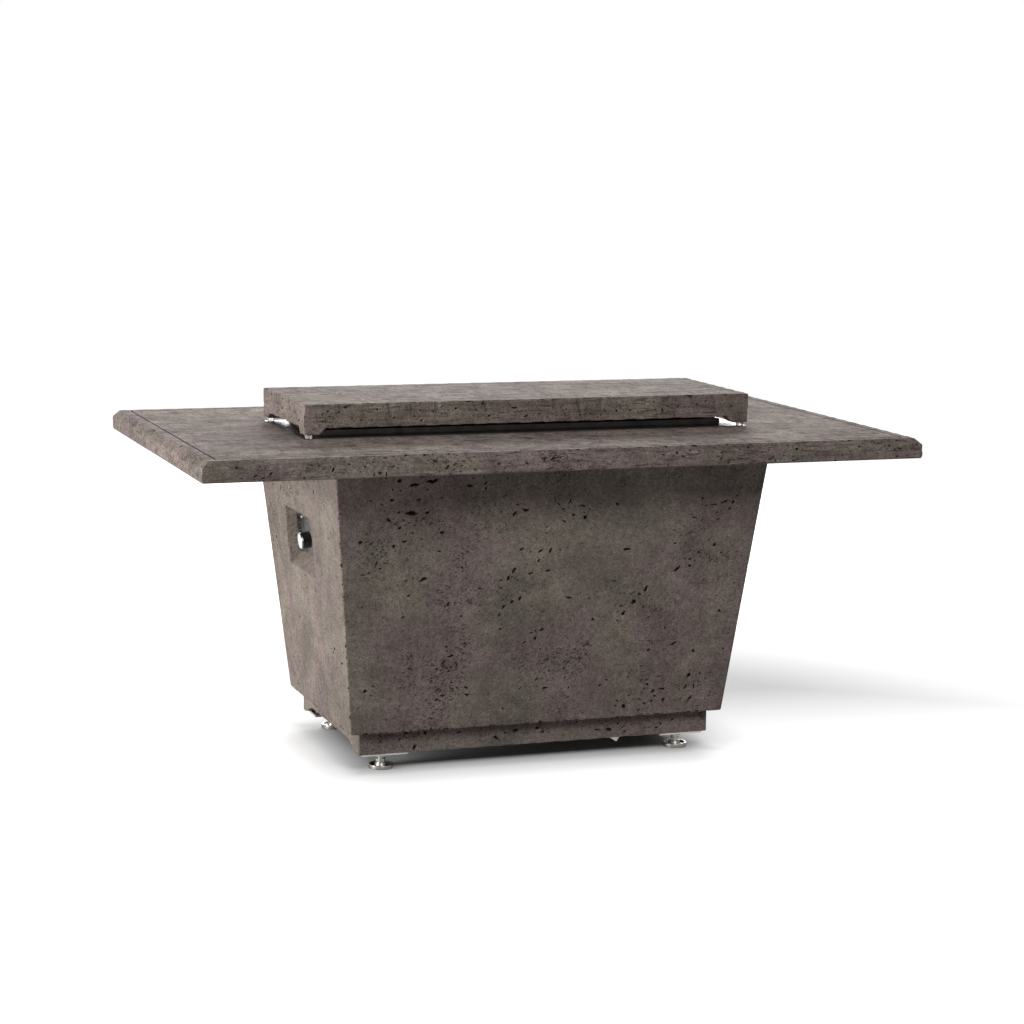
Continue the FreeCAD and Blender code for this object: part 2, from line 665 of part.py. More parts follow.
def burner():
    """The ported burner tube on two saddles, the rock bed round it, and the mixer below the pan."""
    body = new_body("burner_tube")
    half = "(burner_long / 2)"
    rod(("-" + half, "0", burner_high), "burner_radius", "burner_long", turn=ALONG_X, body=body)
    rod(("0", "0", pan_floor + " - stub_below"), "stub_radius", "burner_lift + pan_sheet + stub_below",
        body=body)
    rod(("-%s + 2" % half, "0", burner_high), "burner_radius - burner_wall", "burner_long - 4",
        turn=ALONG_X, body=body, cut=True)
    rod(("0", "0", pan_floor + " - stub_below - 1"), "stub_radius - burner_wall",
        "burner_lift + stub_below + 1", body=body, cut=True)
    port = rod(("-%s + port_inset" % half, "0", burner_high), "port_radius", "burner_radius + 2", body=body,
               cut=True)
    row = body.newObject("PartDesign::LinearPattern", "Ports")
    row.Originals = [port]
    row.Direction = ([axis for axis in body.Origin.OriginFeatures if axis.Role == "X_Axis"][0], [""])
    row.Mode = "Spacing"
    bind(row, Offset="port_pitch", Occurrences="floor((burner_long - 2 * port_inset) / port_pitch) + 1")
    body.Tip = row
    saddles = []
    screws = []
    for x in (-1, 1):
        at = "%d * saddle_apart / 2" % x
        foot = box((at, "0", pan_inside), ("saddle_long", "saddle_wide", "saddle_thick"))
        web = box((at, "0", pan_inside), ("saddle_thick", "saddle_web", "burner_lift"))
        holes = [rod((at + " - saddle_long", "0", burner_high), "burner_radius + slack", "2 * saddle_long",
                     turn=ALONG_X)]
        for y in (-1, 1):
            spot = (at, "%d * (saddle_wide / 2 - saddle_screw_inset)" % y)
            holes.append(rod((*spot, pan_inside + " - 1"), screw_hole, "saddle_thick + 2"))
            screws.append(join([rod((*spot, pan_inside + " + saddle_thick"), screw_head, "screw_radius"),
                                rod((*spot, pan_floor + " - saddle_screw_below"), screw_body,
                                    "saddle_screw_below + pan_sheet + saddle_thick + 1")]))
        saddles.append(trim(join([foot, web]), holes))
    group("burner_saddles", saddles)
    group("saddle_screws", screws)


def rock_bed():
    """The bed of lava rock, with a trench for the burner and pockets for its saddles."""
    clear = "(pan_taper + pan_sheet + 1)"
    rise = "rock_high * pan_taper / pan_deep"
    low = ["(%s - %s)" % (mouth, clear) for mouth in (mouth_x, mouth_y)]
    top = ["(%s - %s + %s)" % (mouth, clear, rise) for mouth in (mouth_x, mouth_y)]
    rocks = frustum(("0", "0", pan_inside + " + seat_gap"), low, top, "rock_high")
    trench = [box(("0", "0", pan_inside), ("burner_long + 3 * rock_gap",
                                           "max(2 * burner_radius; saddle_web) + 2 * rock_gap",
                                           "rock_high + 2"))]
    for x in (-1, 1):
        trench.append(box(("%d * saddle_apart / 2" % x, "0", pan_inside),
                          ("saddle_long + 2 * rock_gap", "saddle_wide + 2 * rock_gap",
                           "saddle_thick + screw_radius + 2 * rock_gap")))
    keep("lava_rock_bed", trim(rocks, trench))


def mixer():
    """The air mixer, gas orifice and elbow that hang on the burner's stub below the pan."""
    bores = [rod(("0", "0", mixer_low + " - 1"), "stub_radius + slack", "mixer_long + 2")]
    for spot, turn in ((("-2 * mixer_radius", "0"), ALONG_X), (("0", "-2 * mixer_radius"), ALONG_Y)):
        bores.append(rod((*spot, mixer_low + " + mixer_hole_rise"), "mixer_hole_radius", "4 * mixer_radius",
                         turn=turn))
    keep("air_mixer", trim(rod(("0", "0", mixer_low), "mixer_radius", "mixer_long"), bores))
    spud = join([rod(("0", "0", mixer_low + " - 1"), "stub_radius", "orifice_neck + 1"),
                 hexagon(("0", "0", orifice_low), "orifice_across", "orifice_long - orifice_neck"),
                 rod(("0", "0", mixer_low), "orifice_tip_radius", "orifice_tip_long")])
    jet = rod(("0", "0", orifice_low + " - 1"), "jet_radius", "orifice_long + orifice_tip_long + 2")
    keep("orifice_fitting", trim(spud, [jet]))
    keep("mixer_elbow", join([
        box(("0", "0", orifice_low + " - elbow_side"), ("elbow_side", "elbow_side", "elbow_side")),
        rod(("-elbow_side / 2 - outlet_long", "0", elbow_z), "port_boss_radius", "outlet_long + 1",
            turn=ALONG_X)]))


def control_panel():
    """The folded steel plate at the back of the recess, with its screws."""
    lip_y = "(%s / 2 - 1 - plate_thick / 2)" % back_wide
    plate = [box((plate_front, "0", "0"), ("plate_thick", back_wide + " - 2", back_tall + " - 2"),
                 centred="yz", frame=CONTROL)]
    for side in (-1, 1):
        plate.append(box((plate_front + " - plate_lip", "%d * %s" % (side, lip_y), "0"),
                         ("plate_lip + plate_thick", "plate_thick", back_tall + " - 2"),
                         centred="yz", frame=CONTROL))
    holes = [rod((plate_front + " - 1", "0", "0"), "neck_radius + slack", "plate_thick + 2",
                 turn=ALONG_X, frame=CONTROL)]
    screws = []
    for y, z in CORNERS:
        spot = ("%d * %s" % (y, plate_screw_y), "%d * %s" % (z, plate_screw_z))
        holes.append(rod((plate_front + " - 1", *spot), screw_hole, "plate_thick + 2",
                         turn=ALONG_X, frame=CONTROL))
        screws.append(join([cone((plate_front + " - screw_radius", *spot), "screw_radius * 1.3",
                                 screw_head, "screw_radius", turn=ALONG_X, frame=CONTROL),
                            rod((plate_front + " - screw_radius / 2", *spot), screw_body,
                                "screw_radius / 2 + plate_thick + " + plate_screw_long, turn=ALONG_X,
                                frame=CONTROL)]))
    keep("control_plate", trim(join(plate), holes))
    group("control_plate_screws", screws)


def valve():
    """The gas valve: its threaded neck passes the plate, and a spring pushes its stem out."""
    body = new_body("valve_body")
    box((valve_front, "0", "0"), ("valve_long", "valve_side", "valve_side"), centred="yz", frame=CONTROL,
        body=body)
    dress(body, "Chamfer", lambda middle, way: abs(way.y) < 0.1 and abs(way.z) < 0.3, Size="valve_bevel")
    for spot, radius, long, turn in (
            (("recess_deep", "0", "0"), "port_boss_radius", "valve_gap + 1", ALONG_X),
            ((neck_tip, "0", "0"), "neck_radius", "%s - %s + 1" % (valve_front, neck_tip), ALONG_X),
            ((valve_back + " - 1", "0", "0"), "port_boss_radius", "outlet_long + 1", ALONG_X),
            ((valve_inlet_x, "0", valve_inlet_z), "port_boss_radius", "inlet_drop + 1", NO_TURN)):
        rod(spot, radius, long, turn=turn, frame=CONTROL, body=body)
    for start, radius, end in ((neck_tip + " - 1", "stem_radius + slack", chamber_end + " + push_travel + 4"),
                               (valve_front, "chamber_radius", chamber_end)):
        rod((start, "0", "0"), radius, "%s - (%s)" % (end, start), turn=ALONG_X, frame=CONTROL, body=body,
            cut=True)
    nut_front = plate_front + " - neck_nut_thick"
    keep("panel_nut", trim(
        hexagon((nut_front, "0", "0"), "3.4 * neck_radius", "neck_nut_thick", turn=ALONG_X, frame=CONTROL),
        [rod((nut_front + " - 1", "0", "0"), "neck_radius + slack", "neck_nut_thick + 2", turn=ALONG_X,
             frame=CONTROL)]))
    keep("stem_washer", trim(
        rod((collar_back, "0", "0"), "chamber_radius - seat_gap", "washer_thick", turn=ALONG_X,
            frame=CONTROL),
        [rod((collar_back + " - 1", "0", "0"), "stem_radius + slack", "washer_thick + 2", turn=ALONG_X,
             frame=CONTROL)]))
    stem_front = "(cap_thick + knob_floor)"
    keep("valve_stem", join([
        rod((stem_front, "0", "0"), "stem_radius", "%s + 2 - %s" % (chamber_end, stem_front), turn=ALONG_X,
            frame=CONTROL),
        rod((collar_front, "0", "0"), "stem_radius + stem_collar", "%s - %s" % (collar_back, collar_front),
            turn=ALONG_X, frame=CONTROL)]))


def knob():
    """The control knob, its bright cap and the grub screw that holds it on the stem."""
    body = new_body("knob_body")
    rod(("cap_thick", "0", "0"), "knob_radius", "knob_long", turn=ALONG_X, frame=CONTROL, body=body)
    dress(body, "Chamfer", lambda middle, way: True, Size="knob_edge")
    rod(("cap_thick + knob_long - knob_hollow", "0", "0"), "neck_radius + 3", "knob_hollow + 1",
        turn=ALONG_X, frame=CONTROL, body=body, cut=True)
    rod(("cap_thick + knob_floor - slack", "0", "0"), "stem_radius + slack", "knob_long", turn=ALONG_X,
        frame=CONTROL, body=body, cut=True)
    rod((grub_x, "0", "stem_radius"), "grub_radius + slack", "knob_radius", frame=CONTROL, body=body,
        cut=True)
    cap = new_body("knob_cap")
    rod(("0", "0", "0"), "cap_radius", "cap_thick", turn=ALONG_X, frame=CONTROL, body=cap)
    cap_middle = number(placing(("cap_thick / 2", "0", "0"), frame=CONTROL))
    inward = cap_middle.Rotation.multVec(FreeCAD.Vector(*X_AXIS))
    dress(cap, "Fillet", lambda middle, way: (middle - cap_middle.Base).dot(inward) < 0, Radius="knob_edge")
    keep("knob_set_screw", rod((grub_x, "0", "stem_radius + slack"), "grub_radius",
                               "knob_radius - stem_radius - 2", frame=CONTROL))


def biarc(start, way_out, end, way_in):
    """Two tangent arcs from a point and its direction to another point and its direction."""
    span = end - start
    turn = 2 * (1 - way_out.dot(way_in))
    along = 2 * span.dot(way_out + way_in)
    reach = (math.sqrt(along * along + 4 * turn * span.dot(span)) - along) / (2 * turn)
    joint = (start + way_out * reach + end - way_in * reach) / 2
    arcs = []
    for point, way in ((start, way_out), (end, -way_in)):
        chord = joint - point
        side = way.cross(chord).cross(way).normalize()
        radius = chord.dot(chord) / (2 * chord.dot(side))
        centre = point + side * radius
        bulge = centre + ((point + joint) / 2 - centre).normalize() * radius
        ends = (point, bulge, joint) if point is start else (joint, bulge, point)
        arcs.append(Part.Arc(*ends).toShape())
    return arcs


def stem_spring():
    """The coil that pushes the stem out, between its washer and the chamber's end."""
    wire = number("spring_wire")
    turns = number("spring_turns")
    start = number(spring_front) + wire
    long = number("%s - %s" % (chamber_end, spring_front)) - 2 * wire
    middle = number("(stem_radius + chamber_radius) / 2")
    pitch = long / turns
    points = []
    ways = []
    for half in range(2 * int(turns) + 1):
        angle = half * math.pi
        points.append(FreeCAD.Vector(middle * math.cos(angle), 0, pitch * half / 2))
        ways.append(FreeCAD.Vector(0, 2 * math.pi * middle * math.cos(angle), pitch).normalize())
    arcs = []
    for step in range(2 * int(turns)):
        arcs += biarc(points[step], ways[step], points[step + 1], ways[step + 1])
    ring = Part.Wire(Part.makeCircle(wire / 2, points[0], ways[0]))
    spring = doc.addObject("Part::Feature", "stem_spring")
    spring.Shape = Part.Wire(arcs).makePipeShell([ring], True, False)
    spring.Placement = number(placing((start, "0", "0"), ALONG_X, CONTROL))
    keep("stem_spring", spring)


def hose(label, corners, radius):
    """A round hose along straight runs that are joined by tangent arcs."""
    edges = []
    start = corners[0]
    turns = []
    for before, corner, after in zip(corners, corners[1:], corners[2:]):
        back = (before - corner).normalize()
        on = (after - corner).normalize()
        half_turn = (math.pi - back.getAngle(on)) / 2
        run = min((corner - before).Length, (after - corner).Length)
        reach = 0.45 * run
        turns.append(reach / math.tan(half_turn))
        first = corner + back * reach
        last = corner + on * reach
        bisector = (back + on).normalize()
        centre = corner + bisector * (turns[-1] / math.cos(half_turn))
        middle = centre - bisector * turns[-1]
        edges.append(Part.LineSegment(start, first).toShape())
        edges.append(Part.Arc(first, middle, last).toShape())
        start = last
    edges.append(Part.LineSegment(start, corners[-1]).toShape())
    path = Part.Wire(edges)
    ring = Part.Wire(Part.makeCircle(radius, corners[0], corners[1] - corners[0]))
    tube = doc.addObject("Part::Feature", label)
    tube.Shape = path.makePipeShell([ring], True, False)
    share = tube.Shape.Volume / (math.pi * radius ** 2 * path.Length)
    print("%s: length %.1f mm, radii %s mm, volume over section %.4f" % (
        label, path.Length, [round(turn) for turn in turns], share))
    keep(label, tube)


def spot_of(x, y, z, frame=""):
    """A point from formulas of its coordinates."""
    return number(placing((x, y, z), frame=frame)).Base


def hoses():
    """The burner hose and the supply hose, and the nuts at their ends."""
    burner_run = "hose_lead * 3"
    supply_run = "hose_lead * 2.5"
    outlet = valve_back + " + outlet_long + hose_nut_long"
    elbow_end = "-elbow_side / 2 - outlet_long - hose_nut_long"
    inlet_low = valve_inlet_z + " - hose_nut_long"
    inlet_top = ledge + " + inlet_rise + hose_nut_long"
    hose("burner_hose", [spot_of(outlet, "0", "0", CONTROL),
                         spot_of("%s + %s" % (outlet, burner_run), "0", "0", CONTROL),
                         spot_of("%s - %s" % (elbow_end, burner_run), "0", elbow_z),
                         spot_of(elbow_end, "0", elbow_z)], number("hose_radius"))
    hose("supply_hose", [spot_of(valve_inlet_x, "0", inlet_low, CONTROL),
                         spot_of(valve_inlet_x, "0", "%s - %s" % (inlet_low, supply_run), CONTROL),
                         spot_of("-" + inlet_x, "control_shift", "%s + %s" % (inlet_top, supply_run)),
                         spot_of("-" + inlet_x, "control_shift", inlet_top)], number("hose_radius"))
    nuts = []
    for spot, turn, frame in (((valve_back + " + outlet_long", "0", "0"), ALONG_X, CONTROL),
                              ((elbow_end, "0", elbow_z), ALONG_X, ""),
                              ((valve_inlet_x, "0", inlet_low), NO_TURN, CONTROL),
                              (("-" + inlet_x, "control_shift", ledge + " + inlet_rise"), NO_TURN, "")):
        nuts.append(hexagon(spot, "hose_nut_across", "hose_nut_long", turn=turn, frame=frame))
    group("hose_nuts", nuts)


def gas_inlet():
    """The supply fitting on its bracket, with a free male thread that points down."""
    plate = box(("-" + plinth_x, "control_shift", ledge),
                ("plinth_wall + inlet_inset / 2 + inlet_plate_past", "bracket_leg + 10", "inlet_plate"),
                centred="y")
    at = ("-" + inlet_x, "control_shift")
    holes = [rod((*at, ledge + " - 1"), "inlet_shank_radius + slack", "inlet_plate + 2")]
    screws = []
    for end in (-1, 1):
        spot = ("-" + inlet_screw_x, "control_shift + %d * %s" % (end, inlet_screw_y))
        holes.append(rod((*spot, ledge + " - 1"), screw_hole, "inlet_plate + 2"))
        screws.append(join([rod((*spot, ledge + " + inlet_plate"), screw_head, "screw_radius"),
                            rod((*spot, ledge + " - inlet_screw_long"), screw_body,
                                "inlet_screw_long + inlet_plate + 1")]))
    keep("inlet_bracket", trim(plate, holes))
    group("inlet_bracket_screws", screws)
    thread_low = "(%s - inlet_thread_long)" % inlet_nut_low
    fitting = join([rod((*at, thread_low), "inlet_thread_radius", "inlet_thread_long + 1"),
                    rod((*at, inlet_nut_low), "inlet_shank_radius", "inlet_hex_thick + inlet_rise"),
                    hexagon((*at, ledge + " + inlet_plate"), "inlet_hex", "inlet_hex_thick")])
    keep("gas_inlet", trim(fitting, [rod((*at, thread_low + " - 1"), "inlet_bore",
                                         "inlet_thread_long + inlet_hex_thick + inlet_bore_above")]))
    keep("inlet_nut", trim(hexagon((*at, inlet_nut_low), "inlet_hex", "inlet_hex_thick"),
                           [rod((*at, inlet_nut_low + " - 1"), "inlet_shank_radius + slack",
                                "inlet_hex_thick + 2")]))


def hanging_tag():
    """The bare metal tag that hangs by a corner on a short ball chain behind the front edge."""
    tag_y = "-(%s - tag_behind_wall)" % tag_wall_y
    blank = box(("tag_x", tag_y, "tag_low"), ("tag_long", "tag_thick", "tag_wide"), centred="",
                turn=(Y_AXIS, "-atan(tag_long / tag_wide)"))
    keep("rating_plate", trim(blank, [rod(("tag_x", tag_y + " - 2", tag_hole_z), "tag_hole_radius", "8",
                                          turn=ALONG_Y)]))
    chain_y = "(%s + tag_thick + chain_ball + 0.4)" % tag_y
    link_long = "(%s - %s - chain_loop)" % (tag_pin_z, tag_hole_z)
    links = [rod(("tag_x", tag_y + " - chain_wire", tag_hole_z), "chain_wire",
                 "tag_thick + chain_ball + 2 * chain_wire + 0.4", turn=ALONG_Y),
             rod(("tag_x", chain_y, tag_hole_z), "chain_wire - 0.1", link_long),
             add("Torus", {"Radius1": "chain_loop", "Radius2": "chain_wire"},
                 ("tag_x", chain_y, tag_pin_z + " - 0.5"), turn=ALONG_Y)]
    for share in (0.4, 0.8):
        links.append(add("Sphere", {"Radius": "chain_ball"},
                         ("tag_x", chain_y, "%s + %s * %s" % (tag_hole_z, link_long, share))))
    keep("tag_chain", join(links))
    keep("tag_pin", join([rod(("tag_x", "-%s - pin_sunk" % tag_wall_y, tag_pin_z), screw_body,
                              "pin_sunk + pin_out", turn=ALONG_Y),
                          rod(("tag_x", "-%s + pin_out" % tag_wall_y, tag_pin_z), screw_head,
                              "screw_radius", turn=ALONG_Y)]))


def write_parts():
    """Checks every object, then writes each sub-part to its own file."""
    doc.recompute()
    for thing in doc.Objects:
        if "Invalid" in thing.State or "Error" in thing.State:
            owners = [owner.Label for owner in thing.InList]
            raise RuntimeError("%s in %s failed: %s" % (thing.Name, owners, thing.getStatusString()))
    for thing in doc.Objects:
        if "Subtractive" in thing.TypeId:
            if thing.Shape.Volume > thing.BaseFeature.Shape.Volume - 1e-3:
                raise RuntimeError("%s cuts nothing" % thing.Name)
    for label, thing in pieces:
        if thing.Shape.isNull() or not thing.Shape.isValid() or not thing.Shape.Solids:
            raise RuntimeError("%s has no valid solid" % label)
    os.makedirs("parts", exist_ok=True)
    for label, thing in pieces:
        thing.Shape.exportStep("parts/%s.step" % label)
        print("%-24s %3d solids %12.1f mm3" % (label, len(thing.Shape.Solids), thing.Shape.Volume))


table_top()
pedestal_shell()
top_brackets()
feet()
cover()
burner_pan()
burner()
rock_bed()
mixer()
control_panel()
valve()
knob()
stem_spring()
hoses()
gas_inlet()
hanging_tag()
write_parts()
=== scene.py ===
"""Looks of a gas fire pit table: pitted cast stone, lava rock, metal fittings and a control knob.

Metres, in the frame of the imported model: X along the table with the control recess on the -X
end, +Y towards the back, +Z up, and the floor at zero.
"""
import json
import logging
import math
import random
from dataclasses import dataclass, field
from enum import Enum, IntEnum
from typing import Iterable

import bmesh
import bpy
from mathutils import Matrix, Vector, noise


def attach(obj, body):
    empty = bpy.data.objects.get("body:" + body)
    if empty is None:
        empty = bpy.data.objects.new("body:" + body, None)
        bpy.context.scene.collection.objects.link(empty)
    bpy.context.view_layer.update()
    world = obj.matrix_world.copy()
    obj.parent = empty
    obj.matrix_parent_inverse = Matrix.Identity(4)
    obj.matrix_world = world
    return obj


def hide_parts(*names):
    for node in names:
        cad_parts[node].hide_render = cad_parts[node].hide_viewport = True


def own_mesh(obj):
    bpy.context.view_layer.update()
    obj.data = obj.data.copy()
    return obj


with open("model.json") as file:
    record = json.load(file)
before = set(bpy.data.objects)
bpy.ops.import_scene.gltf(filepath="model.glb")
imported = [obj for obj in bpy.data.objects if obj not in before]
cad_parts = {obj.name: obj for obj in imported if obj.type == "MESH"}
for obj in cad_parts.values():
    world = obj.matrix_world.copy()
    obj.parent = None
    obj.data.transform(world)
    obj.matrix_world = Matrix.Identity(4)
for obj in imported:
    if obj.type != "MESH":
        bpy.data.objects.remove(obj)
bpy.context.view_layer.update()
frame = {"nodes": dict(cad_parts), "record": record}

LOG = logging.getLogger("fire_pit_table")
MM = 0.001
Colour = tuple[float, float, float]
Triple = tuple[float, float, float]
Corner = tuple[int, int]
Socket = bpy.types.NodeSocket
Material = bpy.types.Material
Mesh = bmesh.types.BMesh
Piece = bpy.types.Object
WHITE = (1.0, 1.0, 1.0)
# Edges sharper than this stay crisp, and faces whose normal climbs this much count as level.
CRISP = math.radians(32.0)
LEVEL = 0.9
# The pedestal's end faces lean out by this many degrees.
END_LEAN = 5.85
# Width of the panels that a blank is split into before it is pitted.
PANEL = 46 * MM
# Signs of X and Y of the four corners, anticlockwise from above, and the sides between them.
RING: tuple[Corner, ...] = ((-1, -1), (1, -1), (1, 1), (-1, 1))
SIDES = tuple(zip(RING, RING[1:] + RING[:1]))


# Materials


@dataclass
class Nodes:
    """A node tree that grows by short calls."""

    tree: bpy.types.NodeTree

    def add(self, kind: str, inputs: dict | None = None, **settings: object) -> bpy.types.Node:
        """Adds a node.

        Args:
            kind: The node's type.
            inputs: Sockets or plain values by input name or number.
            **settings: Attributes of the node.

        Returns:
            The node.
        """
        node = self.tree.nodes.new(kind)
        for name, value in settings.items():
            setattr(node, name, value)
        for name, value in (inputs or {}).items():
            self.feed(node.inputs[name], value)
        return node

    def feed(self, socket: Socket, value: object) -> None:
        """Links a socket to an input, or sets a plain value on it.

        Args:
            socket: The input.
            value: An output socket or a plain value.
        """
        if isinstance(value, Socket):
            self.tree.links.new(value, socket)
        else:
            socket.default_value = value

    def span(self, value: object, low: float, high: float, start: float = 0.0,
             end: float = 1.0) -> Socket:
        """Maps low to high onto start to end, clamped, and returns the new value."""
        terms = dict(enumerate((value, low, high, start, end)))
        return self.add("ShaderNodeMapRange", terms).outputs[0]

    def calc(self, kind: str, *terms: object) -> Socket:
        """Adds a math node with one to three operands, and returns its result."""
        return self.add("ShaderNodeMath", dict(enumerate(terms)), operation=kind).outputs[0]


class Coat(Nodes):
    """The node tree of one finish, read in object coordinates."""

    def __init__(self, name: str) -> None:
        """Starts a material with one shader and its place.

        Args:
            name: The material's name.
        """
        self.material = bpy.data.materials.new(name)
        self.material.use_nodes = True
        super().__init__(self.material.node_tree)
        self.shader = self.tree.nodes["Principled BSDF"]
        self.place = self.add("ShaderNodeTexCoord").outputs["Object"]

    def stretched(self, scale: Triple, lean: float = 0.0) -> Socket:
        """Leans the object coordinates about Y, then scales them by axis.

        Args:
            scale: Waves per metre along X, Y and Z.
            lean: The angle in radians.

        Returns:
            The new coordinates.
        """
        turn = {"Vector": self.place, "Rotation": (0.0, lean, 0.0)}
        turned = self.add("ShaderNodeMapping", turn).outputs[0]
        return self.add("ShaderNodeMapping", {"Vector": turned, "Scale": scale}).outputs[0]

    def noise(self, scale: float, detail: float = 3.0, rough: float = 0.5, warp: float = 0.0,
              at: Socket | None = None) -> Socket:
        """Returns a noise with so many waves per metre, at the object's own place if not told."""
        return self.add("ShaderNodeTexNoise", {
            "Vector": at or self.place, "Scale": scale, "Detail": detail, "Roughness": rough,
            "Distortion": warp}).outputs[0]

    def blend(self, share: object, first: object, second: object, kind: str = "MIX") -> Socket:
        """Mixes two colours.

        Args:
            share: Weight of the second colour.
            first: A colour or socket.
            second: A colour or socket.
            kind: The blend mode.

        Returns:
            The mixed colour.
        """
        node = self.add("ShaderNodeMix", {0: share}, data_type="RGBA", blend_type=kind)
        for index, value in ((6, first), (7, second)):
            self.feed(node.inputs[index], (*value, 1.0) if isinstance(value, tuple) else value)
        return node.outputs[2]

    def times(self, tone: object, factor: object) -> Socket:
        """Returns a tone multiplied by a colour or a value."""
        return self.blend(1.0, tone, factor, "MULTIPLY")

    def warped(self, scale: float, reach: float) -> Socket:
        """Shifts coordinates by a noise, so that round cells become ragged.

        Args:
            scale: Waves per metre of the shift.
            reach: Length of the shift in metres.

        Returns:
            The shifted coordinates.
        """
        waves = {"Vector": self.place, "Scale": scale, "Detail": 2.0}
        drift = self.add("ShaderNodeTexNoise", waves).outputs[1]
        centred = self.add("ShaderNodeVectorMath", {0: drift, 1: (0.5,) * 3}, operation="SUBTRACT")
        terms = {0: centred.outputs[0], 1: (reach,) * 3, 2: self.place}
        return self.add("ShaderNodeVectorMath", terms, operation="MULTIPLY_ADD").outputs[0]

    def spots(self, scale: float, share: float, reach: float, at: Socket) -> Socket:
        """Scatters ragged spots of random size, one at most in each cell.

        Args:
            scale: Cells per metre.
            share: Share of the cells that hold a spot.
            reach: Largest radius, in cells.
            at: Coordinates of the cells.

        Returns:
            1 inside a spot and 0 outside.
        """
        cells = self.add("ShaderNodeTexVoronoi", {"Vector": at, "Scale": scale, "Randomness": 1.0})
        chance = self.add("ShaderNodeSeparateColor", {0: cells.outputs["Color"]}).outputs[0]
        radius = self.span(chance, 1.0 - share, 1.0, 0.0, reach)
        return self.span(self.calc("SUBTRACT", radius, cells.outputs["Distance"]), 0.0, 0.05)

    def relief(self, height: Socket, depth: float, strength: float = 1.0,
               under: Socket | None = None) -> Socket:
        """Adds a bump.

        Args:
            height: The height, from 0 to 1.
            depth: Its size in metres.
            strength: How much of it shows.
            under: The normal it is laid on.

        Returns:
            The bumped normal.
        """
        size = {"Strength": strength, "Distance": depth, "Height": height}
        node = self.add("ShaderNodeBump", size)
        if under:
            self.feed(node.inputs["Normal"], under)
        return node.outputs[0]

    def dress(self, **values: object) -> Material:
        """Feeds the shader's inputs.

        Args:
            **values: Sockets or plain values by input name, with spaces as underscores.

        Returns:
            The finished material.
        """
        for name, value in values.items():
            socket = self.shader.inputs[name.replace("_", " ")]
            self.feed(socket, (*value, 1.0) if isinstance(value, tuple) else value)
        return self.material


@dataclass(frozen=True)
class CastStone:
    """Cast stone: olive and purple clouds, coarse grain, drag streaks, torn pits and specks."""

    name: str
    cool: Colour = (0.247, 0.211, 0.178)
    warm: Colour = (0.255, 0.201, 0.186)
    streak: Colour = (0.070, 0.052, 0.046)
    # The colour of painted pits and specks: near-black painted shade of small holes.
    pit_shade: Colour = (0.010, 0.009, 0.008)
    # A factor on the whole colour; above 1 on the top and edge copies it is painted light.
    light: float = 1.0
    streaks: float = 0.0
    blotches: float = 0.0
    pits: float = 1.0
    blotch_waves: Triple = (52.0, 20.0, 52.0)
    long_waves: Triple = (5.0, 40.0, 70.0)
    short_waves: Triple = (24.0, 70.0, 240.0)
    torn_waves: Triple = (62.0, 105.0, 118.0)
    scratch_waves: Triple = (150.0, 260.0, 280.0)
    slant: float = 0.45

    def material(self) -> Material:
        """Builds the material."""
        coat = Coat(self.name)
        patch = coat.span(coat.noise(6.5, 6.0, 0.62, 0.6), 0.43, 0.57)
        tone = coat.blend(patch, self.cool, self.warm)
        fine = coat.noise(120.0, 4.0, 0.85)
        sand = coat.noise(330.0, 2.0, 0.8)
        layers = ((coat.noise(9.0, 5.0, 0.6, 0.4), 0.32), (coat.noise(40.0, 4.0, 0.6), 0.16),
                  (fine, 0.42), (sand, 0.45))
        for layer, reach in layers:
            tone = coat.times(tone, coat.span(layer, 0.26, 0.74, 1.0 - reach, 1.0 + reach))
        # Painted light: the top and edge copies are made lighter all over here.
        tone = coat.times(tone, (self.light,) * 3)
        if self.blotches:
            blotch = coat.noise(1.0, 5.0, 0.75, 0.5, coat.stretched(self.blotch_waves))
            swing = self.blotches
            tone = coat.times(tone, coat.span(blotch, 0.3, 0.7, 1.0 - swing, 1.0 + swing))
            tone = coat.blend(coat.span(blotch, 0.58, 0.66, 0.0, 0.6), tone, self.streak)
        if self.streaks:
            long = coat.noise(1.0, 6.0, 0.66, 0.3, coat.stretched(self.long_waves))
            short = coat.noise(1.0, 4.0, 0.7, 0.2, coat.stretched(self.short_waves))
            drag = coat.calc("MAXIMUM", coat.span(long, 0.48, 0.66, 0.0, self.streaks),
                             coat.span(short, 0.54, 0.64, 0.0, self.streaks * 1.5))
            tone = coat.blend(drag, tone, self.streak)
        crowd = coat.span(coat.noise(7.5, 3.0, 0.6, 0.6), 0.5, 0.68)
        torn = coat.noise(1.0, 5.0, 0.74, 0.8, coat.stretched(self.torn_waves, self.slant))
        torn = coat.span(coat.calc("ADD", torn, coat.calc("MULTIPLY", crowd, 0.085)),
                         0.735 - 0.03 * self.pits, 0.755 - 0.03 * self.pits)
        scratch = coat.noise(1.0, 3.0, 0.8, 0.4, coat.stretched(self.scratch_waves, self.slant))
        speck = coat.span(coat.calc("ADD", scratch, coat.calc("MULTIPLY", crowd, 0.09)),
                          0.665 - 0.02 * self.pits, 0.70 - 0.02 * self.pits)
        # Painted shade: torn pits and specks are painted near-black, as the shade in small holes,
        # and sunk by a bump below.
        pits = coat.calc("MAXIMUM", torn, coat.calc("MULTIPLY", speck, 0.85))
        tone = coat.blend(pits, tone, self.pit_shade)
        roll = coat.relief(coat.noise(26.0, 3.0, 0.5), 0.002, 0.4)
        grain = coat.relief(coat.calc("ADD", fine, sand), 0.0009, 0.6, roll)
        sunk = coat.relief(coat.calc("SUBTRACT", 1.0, pits), 0.0016, 0.9, grain)
        return coat.dress(Base_Color=tone, Roughness=coat.span(fine, 0.3, 0.7, 0.76, 0.92),
                          Specular_IOR_Level=0.1, Normal=sunk)


